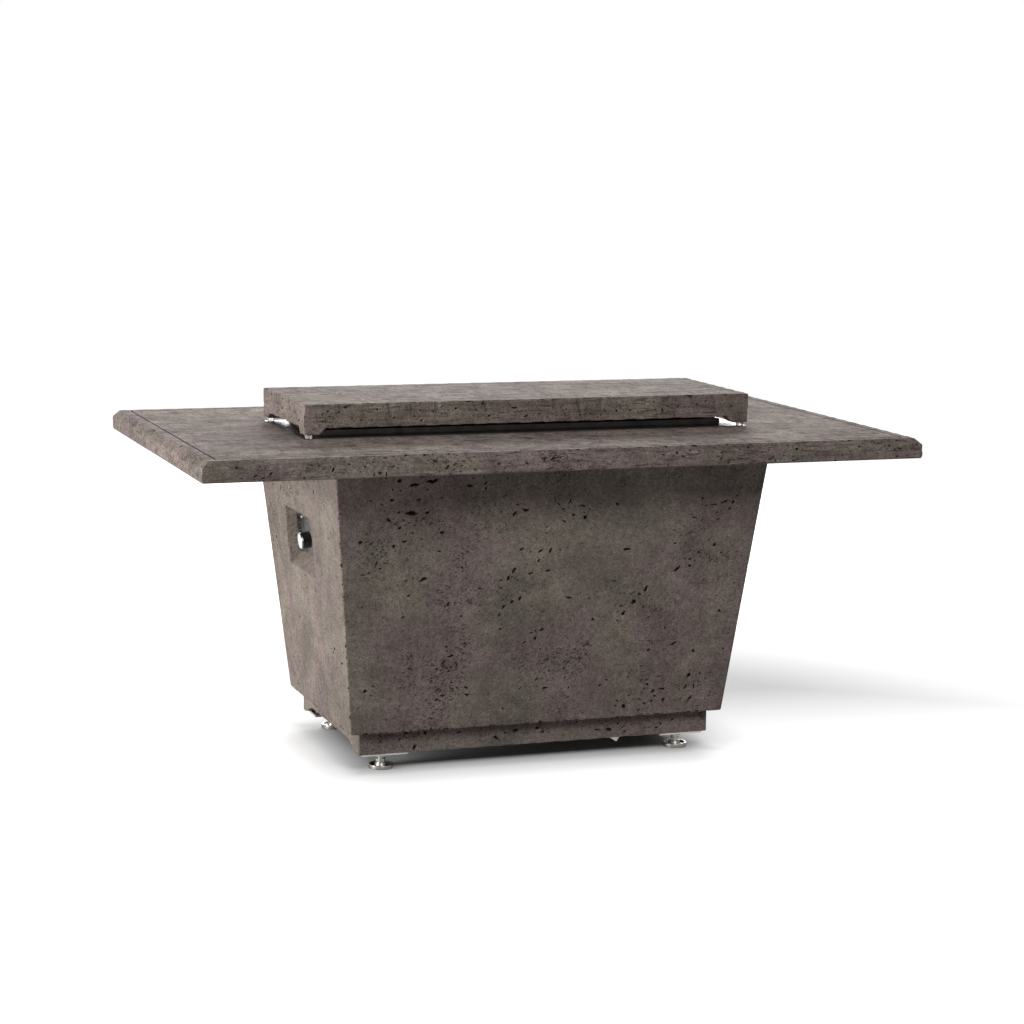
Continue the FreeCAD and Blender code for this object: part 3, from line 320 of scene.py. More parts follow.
@dataclass(frozen=True)
class PaintedPitShade:
    """The inside of pits, chips and the sunk line in the stone: rough, near-black painted shade."""

    name: str = "stone_pit"
    deep: Colour = (0.010, 0.009, 0.008)
    rim: Colour = (0.055, 0.048, 0.044)

    def material(self) -> Material:
        """Builds the material."""
        coat = Coat(self.name)
        grit = coat.noise(420.0, 3.0, 0.7)
        tone = coat.blend(coat.span(grit, 0.5, 0.72), self.deep, self.rim)
        return coat.dress(Base_Color=tone, Roughness=0.95, Specular_IOR_Level=0.15,
                          Normal=coat.relief(grit, 0.001, 0.8))


@dataclass(frozen=True)
class LavaRock:
    """Porous lava rock, black to rust brown from rock to rock."""

    name: str = "lava_rock"
    dark: Colour = (0.022, 0.018, 0.017)
    rust: Colour = (0.095, 0.042, 0.028)
    # Near-black painted shade for the pores of the rock.
    hole_shade: Colour = (0.006, 0.005, 0.005)
    dust: Colour = (0.16, 0.13, 0.115)

    def material(self) -> Material:
        """Builds the material."""
        coat = Coat(self.name)
        tone = coat.blend(coat.span(coat.noise(14.0, 3.0, 0.6), 0.45, 0.62), self.dark, self.rust)
        ragged = coat.warped(300.0, 0.003)
        holes = coat.calc("MAXIMUM", coat.spots(160.0, 0.8, 0.42, ragged),
                          coat.spots(420.0, 0.8, 0.42, ragged))
        # Painted shade: the pores are painted near-black and sunk by a bump.
        tone = coat.blend(coat.calc("MULTIPLY", holes, 0.85), tone, self.hole_shade)
        dusty = coat.span(coat.noise(240.0, 4.0, 0.75), 0.55, 0.8, 0.0, 0.5)
        tone = coat.blend(dusty, tone, self.dust)
        skin = coat.relief(coat.noise(120.0, 5.0, 0.7), 0.003, 0.8)
        return coat.dress(Base_Color=tone, Roughness=0.92, Specular_IOR_Level=0.2,
                          Normal=coat.relief(coat.calc("SUBTRACT", 1.0, holes), 0.0025, 0.9, skin))


class Grain(Enum):
    """The way the brushing of a metal runs, as scales along X, Y and Z."""

    LONG = (8.0, 900.0, 900.0)
    UPRIGHT = (900.0, 900.0, 8.0)
    NONE = (60.0, 60.0, 60.0)


@dataclass(frozen=True)
class Metal:
    """A brushed, plated, cast or polished metal with smudges and dulled patches."""

    name: str
    tone: Colour
    stain: Colour
    rough: float
    grain: Grain = Grain.NONE
    brushing: float = 0.12
    bump: float = 0.00004
    spangle: float = 0.0
    stained: float = 0.25

    def material(self) -> Material:
        """Builds the material."""
        coat = Coat(self.name)
        lines = coat.noise(1.0, 3.0, 0.6, 0.0, coat.stretched(self.grain.value))
        smear = coat.noise(38.0, 4.0, 0.6, 0.6)
        tone = coat.blend(coat.span(smear, 0.45, 0.75, 0.0, self.stained), self.tone, self.stain)
        tone = coat.times(tone, coat.span(lines, 0.25, 0.75, 1.0 - self.brushing, 1.0))
        if self.spangle:
            flakes = coat.add("ShaderNodeTexVoronoi", {"Vector": coat.place, "Scale": 240.0})
            shade = coat.add("ShaderNodeSeparateColor", {0: flakes.outputs["Color"]}).outputs[0]
            tone = coat.times(tone, coat.span(shade, 0.0, 1.0, 1.0 - self.spangle, 1.0))
        gloss = coat.calc("ADD", coat.span(smear, 0.3, 0.7, self.rough * 0.8, self.rough * 1.25),
                          coat.span(lines, 0.3, 0.7, -0.04, 0.05))
        return coat.dress(Base_Color=tone, Metallic=1.0, Roughness=gloss,
                          Normal=coat.relief(lines, self.bump, 0.6))


@dataclass(frozen=True)
class Moulded:
    """Moulded plastic or rubber with a fine grain, a little dust and worn patches."""

    name: str
    tone: Colour
    dust: Colour
    rough: float
    dusty: float = 0.15
    grit: float = 0.00008
    coat_weight: float = 0.0
    through: float = 0.0

    def material(self) -> Material:
        """Builds the material."""
        coat = Coat(self.name)
        specks = coat.noise(700.0, 3.0, 0.6)
        film = coat.span(coat.noise(55.0, 5.0, 0.65), 0.48, 0.75, 0.0, self.dusty)
        tone = coat.blend(film, self.tone, self.dust)
        gloss = coat.span(specks, 0.3, 0.7, self.rough * 0.9, self.rough * 1.15)
        gloss = coat.calc("ADD", gloss, film)
        return coat.dress(Base_Color=tone, Roughness=gloss, Coat_Weight=self.coat_weight,
                          Coat_Roughness=0.08, Transmission_Weight=self.through,
                          Normal=coat.relief(specks, self.grit, 0.5))


STONE = CastStone("cast_stone")
# Painted light and sheen: the top copy is half again as light as the plain stone.
STONE_TOP = CastStone("cast_stone_top_painted_light", (0.247, 0.209, 0.182), (0.252, 0.203, 0.187), light=1.5,
                      streaks=0.55, blotches=0.6, pits=0.9)
# Painted light: the edge copy is a twentieth lighter, for the lit chamfers.
STONE_EDGE = CastStone("cast_stone_edge_painted_light", light=1.05, streaks=0.5, pits=1.6)
STONE_ARRIS = CastStone("cast_stone_arris", light=1.1, streaks=0.2)
LAVA = LavaRock()
FINISHES = {finish.name: finish for finish in (
    STONE,
    LAVA,
    Metal("stainless", (0.52, 0.49, 0.46), (0.30, 0.26, 0.23), 0.32, Grain.LONG),
    Metal("polished_steel", (0.78, 0.77, 0.75), (0.5, 0.47, 0.43), 0.14, Grain.LONG, 0.05),
    Metal("plated_steel", (0.52, 0.52, 0.51), (0.30, 0.29, 0.26), 0.38, spangle=0.3, stained=0.4),
    Metal("brass", (0.68, 0.44, 0.20), (0.30, 0.17, 0.08), 0.28, Grain.UPRIGHT, stained=0.5),
    Metal("cast_aluminium", (0.56, 0.56, 0.56), (0.36, 0.36, 0.35), 0.5, bump=0.0003),
    Moulded("black_knob", (0.008, 0.008, 0.009), (0.09, 0.085, 0.08), 0.22, 0.08, 0.00003, 0.6),
    Metal("chrome_trim", (0.62, 0.62, 0.61), (0.45, 0.43, 0.40), 0.22, brushing=0.06, stained=0.15),
    Moulded("hose_rubber", (0.014, 0.014, 0.015), (0.10, 0.095, 0.085), 0.5, 0.3),
    Moulded("clear_bumper", (0.82, 0.82, 0.79), (0.5, 0.48, 0.44), 0.25, 0.2, 0.00002,
            through=0.45),
    Metal("tag_metal", (0.78, 0.70, 0.60), (0.56, 0.49, 0.41), 0.42, Grain.LONG, 0.15),
)}
ODD_FINISHES = {
    "control_plate": Metal("spangled_plate", (0.30, 0.29, 0.28), (0.14, 0.13, 0.12), 0.45,
                           spangle=0.7, stained=0.6),
    # Painted shade: the burner pan and media guard are painted dark for the shade under the cover.
    "burner_pan": Metal("shade_darkened_steel", (0.20, 0.18, 0.16), (0.07, 0.06, 0.05), 0.42, Grain.LONG,
                        0.2, stained=0.7),
    "media_guard": Metal("shade_darkened_guard", (0.10, 0.09, 0.085), (0.04, 0.035, 0.03), 0.35, Grain.LONG,
                         0.1, stained=0.6),
}


# Meshes


def place(bm: Mesh, name: str, coats: list[Material], recalc: bool = True) -> Piece:
    """Makes an object at the origin of a mesh, smooth but for its sharp edges.

    Args:
        bm: The mesh, which is freed.
        name: The object's name.
        coats: Its materials.
        recalc: Whether the normals are worked out anew.

    Returns:
        The object.
    """
    if recalc:
        bmesh.ops.recalc_face_normals(bm, faces=bm.faces)
    for face in bm.faces:
        face.smooth = True
    for edge in bm.edges:
        edge.smooth = edge.is_manifold and edge.calc_face_angle() < CRISP
    mesh = bpy.data.meshes.new(name)
    bm.to_mesh(mesh)
    bm.free()
    for coat in coats:
        mesh.materials.append(coat)
    piece = bpy.data.objects.new(name, mesh)
    bpy.context.scene.collection.objects.link(piece)
    return piece


def fit(piece: Piece, body: str, slot: str, *nodes: str) -> Piece:
    """Attaches a piece to the body it rides on and hides the nodes it stands for.

    Args:
        piece: The object.
        body: The body it moves with.
        slot: The record's material slot; not used.
        *nodes: The nodes it replaces.

    Returns:
        The object.
    """
    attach(piece, body)
    if nodes:
        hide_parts(*nodes)
    LOG.info("%s: %d faces on %s", piece.name, len(piece.data.polygons), body)
    return piece


def block(bm: Mesh, low: Triple, high: Triple) -> None:
    """Adds a box between two corners.

    Args:
        bm: The mesh.
        low: Lowest corner.
        high: Highest corner.
    """
    middle = [(a + b) / 2 for a, b in zip(low, high)]
    sides = [b - a for a, b in zip(low, high)]
    at = Matrix.Translation(middle) @ Matrix.Diagonal((*sides, 1.0))
    bmesh.ops.create_cube(bm, size=1.0, matrix=at)


def graft(whole: Mesh, part: Mesh) -> None:
    """Moves a small mesh into a larger one, which stays quick however large that has grown.

    Args:
        whole: The mesh that grows.
        part: The mesh that is added and freed.
    """
    carrier = bpy.data.meshes.new("carrier")
    part.to_mesh(carrier)
    part.free()
    whole.from_mesh(carrier)
    bpy.data.meshes.remove(carrier)


class Joining(Enum):
    """How a tool meets a blank."""

    CUT = "DIFFERENCE"
    ADD = "UNION"


def flared(low: Triple, high: Triple) -> Mesh:
    """Makes a block about the Z axis whose half sizes change with height.

    Args:
        low: Half length, half width and height of its lower end.
        high: The same of its upper end.

    Returns:
        Its mesh.
    """
    bm = bmesh.new()
    bmesh.ops.create_cube(bm, size=2.0)
    for vert in bm.verts:
        x, y, z = high if vert.co.z > 0 else low
        vert.co = (vert.co.x * x, vert.co.y * y, z)
    return bm


def carve(blank: Piece, shape: Mesh, coat: int = 0, how: Joining = Joining.CUT) -> None:
    """Cuts a shape out of a blank, or adds it.

    Args:
        blank: The piece.
        shape: The mesh that meets it, which is freed.
        coat: Which of the blank's materials the new faces get.
        how: Whether the shape is cut out or added.
    """
    for face in shape.faces:
        face.material_index = coat
    tool = place(shape, "tool", list(blank.data.materials))
    cut = blank.modifiers.new("cut", "BOOLEAN")
    cut.operation = how.value
    cut.solver = "MANIFOLD"
    cut.object = tool
    graph = bpy.context.evaluated_depsgraph_get()
    shaped = bpy.data.meshes.new_from_object(blank.evaluated_get(graph))
    blank.modifiers.remove(cut)
    blank.data = shaped
    bpy.data.objects.remove(tool)
    shaped.shade_flat()


def set_corners(verts: Iterable[bmesh.types.BMVert], half_x: float, half_y: float) -> None:
    """Moves vertices to a half length and a half width, each in its own quadrant.

    Args:
        verts: The vertices.
        half_x: The half length.
        half_y: The half width.
    """
    for vert in verts:
        vert.co.x = math.copysign(half_x, vert.co.x)
        vert.co.y = math.copysign(half_y, vert.co.y)


def middle_height(face: bmesh.types.BMFace) -> float:
    """Returns how high the middle of a face lies."""
    return face.calc_center_median().z


def outward(start: Corner, end: Corner, rise: float) -> Vector:
    """Returns the way out of the side between two corners, climbing by a rise."""
    return Vector(((start[0] + end[0]) / 2, (start[1] + end[1]) / 2, rise)).normalized()


def score(bm: Mesh, spot: Iterable[float], way: Iterable[float]) -> None:
    """Splits the faces that a plane through a spot crosses."""
    bmesh.ops.bisect_plane(bm, geom=bm.verts[:] + bm.edges[:] + bm.faces[:], dist=1e-6,
                           plane_co=spot, plane_no=way)


def panelled(bm: Mesh) -> None:
    """Splits convex faces along a grid, so that none gets more than a few pits.

    Args:
        bm: The mesh.
    """
    for axis in range(3):
        across = Vector([float(axis == k) for k in range(3)])
        low, high = (pick(v.co[axis] for v in bm.verts) for pick in (min, max))
        count = round((high - low) / PANEL)
        for k in range(1, count):
            score(bm, across * (low + (high - low) * k / count), across)


@dataclass
class Wear:
    """Rounded, slightly wobbly arrises along chosen edges."""

    width: float
    seed: int
    step: float = 14.0 * MM
    wobble: float = 0.5 * MM

    def apply(self, bm: Mesh, edges: list[bmesh.types.BMEdge]) -> None:
        """Splits the edges into short runs, bevels them and dents the new strips.

        Args:
            bm: The mesh.
            edges: The sharp edges.
        """
        runs = {}
        for edge in edges:
            runs.setdefault(max(0, round(edge.calc_length() / self.step) - 1), []).append(edge)
        worn = []
        for cuts, group in runs.items():
            if cuts:
                new = bmesh.ops.subdivide_edges(bm, edges=group, cuts=cuts)["geom_inner"]
                worn += [e for e in new if isinstance(e, bmesh.types.BMEdge)]
            worn += group
        worn = [edge for edge in set(worn) if edge.is_valid and edge.is_manifold
                and edge.calc_face_angle() > math.radians(15)]
        before = set(bm.verts)
        made = bmesh.ops.bevel(bm, geom=worn, offset=self.width, offset_type="OFFSET", segments=2,
                               profile=0.5, affect="EDGES", clamp_overlap=False,
                               material=Layer.ARRIS)
        faces = set(made["faces"])
        for vert in set(bm.verts) - before:
            if all(face in faces for face in vert.link_faces):
                depth = noise.noise(vert.co * 70.0 + Vector((self.seed, 0.0, 0.0)))
                vert.co -= vert.normal * (max(0.0, depth) * self.wobble * 2.0)


@dataclass
class Pitting:
    """Random pits and chips for one stone piece, as a mesh of ragged blobs that never touch."""

    seed: int
    low: float = 0.7 * MM
    high: float = 3.2 * MM
    torn_from: float = 2.6 * MM
    fine_to: float = 1.2 * MM
    bm: Mesh = field(default_factory=bmesh.new)
    taken: list[tuple[Vector, float]] = field(default_factory=list)

    def __post_init__(self) -> None:
        """Seeds the random draws."""
        self.draw = random.Random(self.seed)

    def blob(self, centre: Vector, out: Vector, along: Vector, size: float, stretch: float,
             depth: float) -> None:
        """Adds one blob unless it would touch another.

        Args:
            centre: Its middle.
            out: Direction out of the stone.
            along: Direction in the face.
            size: Half its width.
            stretch: Its length over its width.
            depth: Its depth over its width.
        """
        reach = size * max(stretch, 1.0) * 1.35
        for other, radius in self.taken:
            if (other - centre).length < reach + radius:
                return
        self.taken.append((centre, reach))
        side = out.cross(along).normalized()
        turn = Matrix((along, side, out)).transposed()
        ball = bmesh.new()
        detail = 3 if size > self.torn_from else 2 if size > self.fine_to else 1
        bmesh.ops.create_icosphere(ball, subdivisions=detail, radius=1.0)
        drift = Vector([self.draw.uniform(-50.0, 50.0) for _ in range(3)])
        bend = self.draw.uniform(-0.5, 0.5)
        for vert in ball.verts:
            spot = vert.co * 1.9 + drift
            ragged = 1.0 + 0.85 * noise.noise(spot) + 0.55 * noise.noise(spot * 2.3)
            local = vert.co * min(max(ragged, 0.35), 1.3)
            local.y += bend * (local.x * local.x - 0.4)
            vert.co = centre + turn @ Vector(
                (local.x * size * stretch, local.y * size, local.z * size * depth))
        graft(self.bm, ball)

    def group(self, spot: Vector, out: Vector, along: Vector, spread: float, count: int) -> None:
        """Scatters pits about a spot, mostly along one direction.

        Args:
            spot: Middle of the group, on the face.
            out: The face's outward direction.
            along: The group's long direction.
            spread: Half the group's length.
            count: Number of tries.
        """
        across = out.cross(along).normalized()
        for _ in range(count):
            size = self.low + (self.high - self.low) * self.draw.random() ** 2.2
            x = self.draw.gauss(0.0, spread)
            y = self.draw.gauss(0.0, spread * 0.42)
            lean = Matrix.Rotation(self.draw.uniform(-0.7, 0.7), 3, out)
            centre = spot + along * x + across * y + out * size * 0.2
            stretch, depth = self.draw.uniform(1.2, 3.6), self.draw.uniform(0.8, 1.2)
            self.blob(centre, out, lean @ along, size, stretch, depth)

    def face(self, corners: list[Vector], groups: int, singles: int,
             chosen: tuple[tuple[float, ...], ...] = (), voids: tuple[tuple[float, ...], ...] = ()
             ) -> None:
        """Pits a four-sided face.

        Args:
            corners: Low start, low end, high end and high start, anticlockwise from outside.
            groups: Number of random groups.
            singles: Number of lone pits.
            chosen: More groups, as shares along and up, spread in metres and count.
            voids: Large pits, as shares along and up, length and height in millimetres, and lean
                in degrees.
        """
        start, end, high_end, high_start = corners
        along = (end - start).normalized()
        out = along.cross(high_start - start).normalized()

        def at(u: float, v: float) -> Vector:
            """Returns the point at shares u along and v up."""
            return start.lerp(end, u).lerp(high_start.lerp(high_end, u), v)

        for u, v, length, tall, lean in voids:
            way = Matrix.Rotation(math.radians(lean), 3, out) @ along
            self.blob(at(u, v), out, way, tall * MM / 2, length / tall, 1.2)
        for u, v, spread, count in chosen:
            self.group(at(u, v), out, self.slanted(along, out), spread, count * 2)
        for _ in range(groups):
            spot = at(self.draw.uniform(0.05, 0.95), self.draw.uniform(0.08, 0.92))
            self.group(spot, out, self.slanted(along, out), self.draw.uniform(8, 24) * MM,
                       self.draw.randint(4, 11))
        for _ in range(singles):
            size = self.low + (self.high - self.low) * self.draw.random() ** 3
            spot = at(self.draw.uniform(0.02, 0.98), self.draw.uniform(0.03, 0.97))
            self.blob(spot + out * size * 0.3, out, self.slanted(along, out), size,
                      self.draw.uniform(1.0, 1.9), 0.9)

    def slanted(self, along: Vector, out: Vector) -> Vector:
        """Returns a direction in the face, turned a little off the long one."""
        return Matrix.Rotation(self.draw.gauss(0.25, 0.45), 3, out) @ along

    def chips(self, start: Vector, end: Vector, out: Vector, count: int) -> None:
        """Breaks bits off a straight edge.

        Args:
            start: One end of the edge.
            end: Its other end.
            out: Direction away from the stone.
            count: Number of tries.
        """
        along = (end - start).normalized()
        for _ in range(count):
            size = self.draw.uniform(1.4, 4.6) * MM
            spot = start.lerp(end, self.draw.uniform(0.02, 0.98))
            self.blob(spot + out * size * self.draw.uniform(0.35, 0.6), out, along, size,
                      self.draw.uniform(1.0, 2.6), 1.0)


# Sub-assemblies


class Layer(IntEnum):
    """The place of each finish among the materials of a slab."""

    EDGE = 0
    ARRIS = 1
    TOP = 2
    PIT = 3


@dataclass
class StoneCoats:
    """The materials that the stone pieces share."""

    plain: Material = field(default_factory=STONE.material)
    top: Material = field(default_factory=STONE_TOP.material)
    edge: Material = field(default_factory=STONE_EDGE.material)
    arris: Material = field(default_factory=STONE_ARRIS.material)
    # Near-black painted shade for the insides of pits, chips and the sunk line.
    pit_shade: Material = field(default_factory=PaintedPitShade().material)


@dataclass
class Slab:
    """What the table top and the cover share: worn outer edges, a streaked top and pits."""

    coats: StoneCoats
    half_long: float
    half_wide: float

    def finished(self, bm: Mesh, name: str, wear: Wear, margin: float) -> Piece:
        """Wears the outer edges, gives the top its coat and pits the slab.

        Args:
            bm: The mesh, which is freed.
            name: The piece's name.
            wear: How its edges are worn.
            margin: How far in from the sides an edge counts as an outer one.

        Returns:
            The slab.
        """
        panelled(bm)
        wear.apply(bm, [
            e for e in bm.edges if e.calc_face_angle() > math.radians(35)
            and all(abs(v.co.x) > self.half_long - margin or
                    abs(v.co.y) > self.half_wide - margin for v in e.verts)])
        # Level faces take the top coat, which is painted light.
        for face in bm.faces:
            if face.material_index == Layer.EDGE and face.normal.z > LEVEL:
                face.material_index = Layer.TOP
        slab = place(bm, name, [self.coats.edge, self.coats.arris, self.coats.top, self.coats.pit_shade])
        # The pits and chips get near-black painted shade.
        carve(slab, self.pits(), Layer.PIT)
        return slab


@dataclass
class TableTop(Slab):
    """The chamfered stone slab with its sunk border line and the opening for the pan."""

    half_long: float = 692.0 * MM
    half_wide: float = 406.5 * MM
    low: float = 585.0 * MM
    high: float = 623.0 * MM
    chamfer: float = 11.5 * MM
    underside_round: float = 3.0 * MM
    line_inset: float = 37.0 * MM
    line_wide: float = 4.0 * MM
    line_deep: float = 3.0 * MM
    opening: tuple[float, float] = (412.5 * MM, 118.0 * MM)
    lip: float = 20.0 * MM
    pits_inset: float = 46.0 * MM

    def build(self) -> Piece:
        """Models the slab and pits it.

        Returns:
            The slab.
        """
        bm = bmesh.new()
        block(bm, (-self.half_long, -self.half_wide, self.low),
              (self.half_long, self.half_wide, self.high))
        upper = [e for e in bm.edges if all(v.co.z > self.high - MM for v in e.verts)]
        bmesh.ops.bevel(bm, geom=upper, offset=self.chamfer, segments=1, profile=0.5,
                        affect="EDGES", material=-1)
        lower = [e for e in bm.edges if all(v.co.z < self.low + MM for v in e.verts)]
        bmesh.ops.bevel(bm, geom=lower, offset=self.underside_round, segments=3, profile=0.5,
                        affect="EDGES", material=-1)
        top, bottom = max(bm.faces, key=middle_height), min(bm.faces, key=middle_height)
        bmesh.ops.inset_region(bm, faces=[top], thickness=self.line_inset - self.chamfer)
        line = bmesh.ops.inset_region(bm, faces=[top], thickness=self.line_wide)["faces"]
        walls = bmesh.ops.inset_region(bm, faces=line, thickness=0.0,
                                       depth=-self.line_deep)["faces"]
        # The sunk line gets the near-black painted shade of the pits.
        for face in line + walls:
            face.material_index = Layer.PIT
        for face in (top, bottom):
            bmesh.ops.inset_region(bm, faces=[face], thickness=self.lip)
            set_corners(face.verts, *self.opening)
        bmesh.ops.bridge_loops(bm, edges=list(top.edges) + list(bottom.edges))
        bmesh.ops.delete(bm, geom=[top, bottom], context="FACES")
        slab = self.finished(bm, "top_slab", Wear(seed=3, width=2.6 * MM), 2 * self.chamfer)
        return fit(slab, "frame", "cast_stone", "table_top")

    def pits(self) -> Mesh:
        """Returns the pits and chips of the slab's top, chamfers and sides."""
        x, y = self.half_long, self.half_wide
        pitting = Pitting(11, high=2.2 * MM)
        inner = (x - self.chamfer, y - self.chamfer)
        for start, end in SIDES:
            low = [Vector((s[0] * x, s[1] * y, self.low + 4 * MM)) for s in (start, end)]
            waist = [Vector((v.x, v.y, self.high - self.chamfer)) for v in low]
            rim = [Vector((s[0] * inner[0], s[1] * inner[1], self.high)) for s in (start, end)]
            count = 14 if start[1] == end[1] else 8
            pitting.face([*low, *waist[::-1]], count, count * 3)
            pitting.face([*waist, *rim[::-1]], count, count * 4)
            out = outward(start, end, 1.0)
            pitting.chips(*rim, out, count * 4)
            pitting.chips(*waist, Vector((out.x, out.y, 0.4)).normalized(), count * 3)
        inner = (x - self.pits_inset, y - self.pits_inset)
        pitting.face([Vector((s[0] * inner[0], s[1] * inner[1], self.high)) for s in RING], 16, 60)
        return pitting.bm


FRONT_GROUPS = (
    (0.19, 0.93, 0.03, 18), (0.1, 0.88, 0.016, 8), (0.16, 0.8, 0.026, 22), (0.12, 0.7, 0.02, 16),
    (0.08, 0.63, 0.016, 9), (0.2, 0.69, 0.018, 10), (0.34, 0.92, 0.016, 8),
    (0.42, 0.84, 0.018, 9), (0.53, 0.84, 0.016, 14), (0.6, 0.81, 0.018, 10),
    (0.47, 0.63, 0.018, 14), (0.39, 0.56, 0.022, 18), (0.39, 0.47, 0.02, 24),
    (0.48, 0.37, 0.014, 12), (0.37, 0.36, 0.012, 8), (0.26, 0.26, 0.022, 26),
    (0.22, 0.12, 0.016, 16), (0.28, 0.15, 0.016, 18), (0.05, 0.17, 0.014, 12),
    (0.44, 0.13, 0.01, 6), (0.72, 0.04, 0.014, 16), (0.66, 0.53, 0.012, 8),
    (0.71, 0.44, 0.022, 20), (0.85, 0.62, 0.018, 12), (0.91, 0.8, 0.02, 14),
    (0.83, 0.28, 0.012, 5), (0.9, 0.1, 0.018, 12), (0.8, 0.06, 0.02, 10))
FRONT_VOIDS = (
    (0.172, 0.938, 18, 6, 4), (0.214, 0.95, 20, 7, 10), (0.14, 0.955, 8, 6, 30),
    (0.166, 0.902, 10, 5, -20), (0.122, 0.885, 9, 5, 15), (0.166, 0.832, 22, 8, 0),
    (0.202, 0.832, 9, 6, 40), (0.114, 0.81, 12, 6, -60), (0.137, 0.838, 8, 4, 20),
    (0.572, 0.79, 9, 7, 60), (0.533, 0.852, 9, 5, 60), (0.396, 0.572, 9, 5, 70),
    (0.486, 0.366, 10, 5, 30), (0.257, 0.284, 10, 5, 10), (0.223, 0.118, 9, 5, 15),
    (0.723, 0.042, 10, 7, -50), (0.715, 0.455, 12, 7, 20), (0.89, 0.15, 10, 6, 45),
    (0.042, 0.168, 8, 6, 45), (0.468, 0.636, 8, 4, 75))


@dataclass
class Pedestal:
    """The hollow flared stone pedestal and its plinth, with the control recess and end arches."""

    coats: StoneCoats
    low: float = 78.5 * MM
    high: float = 585.0 * MM
    foot: tuple[float, float] = (373.5 * MM, 221.5 * MM)
    head: tuple[float, float] = (425.4 * MM, 299.0 * MM)
    plinth: tuple[float, float] = (352.5 * MM, 200.5 * MM)
    ground: float = 33.5 * MM
    corner_round: float = 3.0 * MM
    ledge: float = 98.5 * MM
    hollow_foot: tuple[float, float] = (355.5 * MM, 204.6 * MM)
    hollow_head: tuple[float, float] = (405.5 * MM, 279.2 * MM)
    plinth_hollow: tuple[float, float] = (326.5 * MM, 174.5 * MM)
    block_inner: tuple[float, float] = (264.5 * MM, 142.5 * MM)
    arch_foot: float = 180.5 * MM
    arch_head: float = 135.5 * MM
    arch_high: float = 50.5 * MM
    control: Triple = (-407.055 * MM, 20.0 * MM, 406.0 * MM)
    lean: float = END_LEAN
    mouth: tuple[float, float] = (57.5 * MM, 97.5 * MM)
    recess_back: tuple[float, float] = (37.5 * MM, 89.5 * MM)
    recess_deep: float = 30.0 * MM
    back_wall: float = 12.0 * MM
    pod_wall: float = 20.0 * MM
    window: tuple[float, float] = (25.0 * MM, 75.0 * MM)

    def build(self) -> Piece:
        """Models the outside, hollows it, cuts the recess and the arches, and pits it.

        Returns:
            The pedestal.
        """
        coats = [self.coats.plain, self.coats.arris, self.coats.pit_shade]
        shell = place(self.outside(), "pedestal_stone", coats)
        past = 4 * MM
        under = self.ground - past
        carve(shell, flared((*self.hollow_foot, self.ledge), (*self.hollow_head, self.high + MM)))
        x, y = self.plinth_hollow
        near_x, near_y = self.block_inner
        for half_x, half_y, start in ((near_x, y, under), (x, near_y, under), (x, y, self.low)):
            carve(shell, flared((half_x, half_y, start), (half_x, half_y, self.ledge + MM)))
        pod_size = [half + self.pod_wall for half in self.recess_back]
        pod = flared((*pod_size, 10 * MM), (*pod_size, self.recess_deep + self.back_wall))
        carve(shell, self.inward(pod), 0, Joining.ADD)
        carve(shell, self.inward(self.recess()))
        carve(shell, self.inward(flared((*self.window, self.recess_deep - MM),
                                        (*self.window, self.recess_deep + self.back_wall + MM))))
        for sign in (-1, 1):
            arch = flared((15 * MM, self.arch_foot + past * 2.5, under),
                          (15 * MM, self.arch_head, self.arch_high))
            reach = sign * (self.plinth[0] - 13 * MM)
            bmesh.ops.translate(arch, verts=arch.verts, vec=(reach, 0, 0))
            carve(shell, arch)
        # The pits and chips get near-black painted shade.
        carve(shell, self.pits(), coats.index(self.coats.pit_shade))
        return fit(shell, "frame", "cast_stone", "pedestal_shell")

    def outside(self) -> Mesh:
        """Returns the flared block on its plinth, with rounded corners and worn arrises."""
        bm = flared((*self.foot, self.low), (*self.head, self.high))
        base = min(bm.faces, key=middle_height)
        bmesh.ops.inset_region(bm, faces=[base], thickness=10 * MM)
        set_corners(base.verts, *self.plinth)
        step = bmesh.ops.extrude_discrete_faces(bm, faces=[base])["faces"]
        bmesh.ops.translate(bm, verts=step[0].verts, vec=(0, 0, self.ground - self.low))
        upright = [e for e in bm.edges
                   if abs((e.verts[0].co - e.verts[1].co).normalized().z) > LEVEL]
        bmesh.ops.bevel(bm, geom=upright, offset=self.corner_round, segments=3, profile=0.5,
                        affect="EDGES", material=-1)
        bmesh.ops.recalc_face_normals(bm, faces=bm.faces)
        panelled(bm)
        Wear(seed=8, width=1.4 * MM).apply(bm, [
            e for e in bm.edges if e.is_convex and e.calc_face_angle() > math.radians(40)
            and all(v.co.z < self.high - MM for v in e.verts)])
        return bm

    def inward(self, bm: Mesh) -> Mesh:
        """Turns a shape's Z into the sloping end face, and puts it at the control."""
        lean = Matrix.Rotation(math.radians(-self.lean), 4, "Y")
        turn = lean @ Matrix.Rotation(math.pi / 2, 4, "Y")
        bmesh.ops.transform(bm, matrix=Matrix.Translation(self.control) @ turn, verts=bm.verts)
        return bm

    def recess(self) -> Mesh:
        """Returns the recess as a cutter: splayed sides and a ragged, broken mouth edge."""
        lip = 2.2 * MM
        share = lip / self.recess_deep
        neck = [m + (b - m) * share for m, b in zip(self.mouth, self.recess_back)]
        out = 8 * MM
        bm = flared((neck[0] + out + lip, neck[1] + out + lip, -out), (*neck, lip))
        inner = max(bm.faces, key=middle_height)
        deep = bmesh.ops.extrude_discrete_faces(bm, faces=[inner])["faces"][0]
        set_corners(deep.verts, *self.recess_back)
        for vert in deep.verts:
            vert.co.z = self.recess_deep
        ring = [e for e in bm.edges if all(abs(v.co.z - lip) < 1e-5 for v in e.verts)]
        bmesh.ops.subdivide_edges(bm, edges=ring, cuts=14)
        for vert in bm.verts:
            if abs(vert.co.z - lip) < 1e-5:
                vert.co.z += noise.noise(vert.co * 90.0) * 2.0 * MM
        bmesh.ops.triangulate(bm, faces=bm.faces)
        return bm

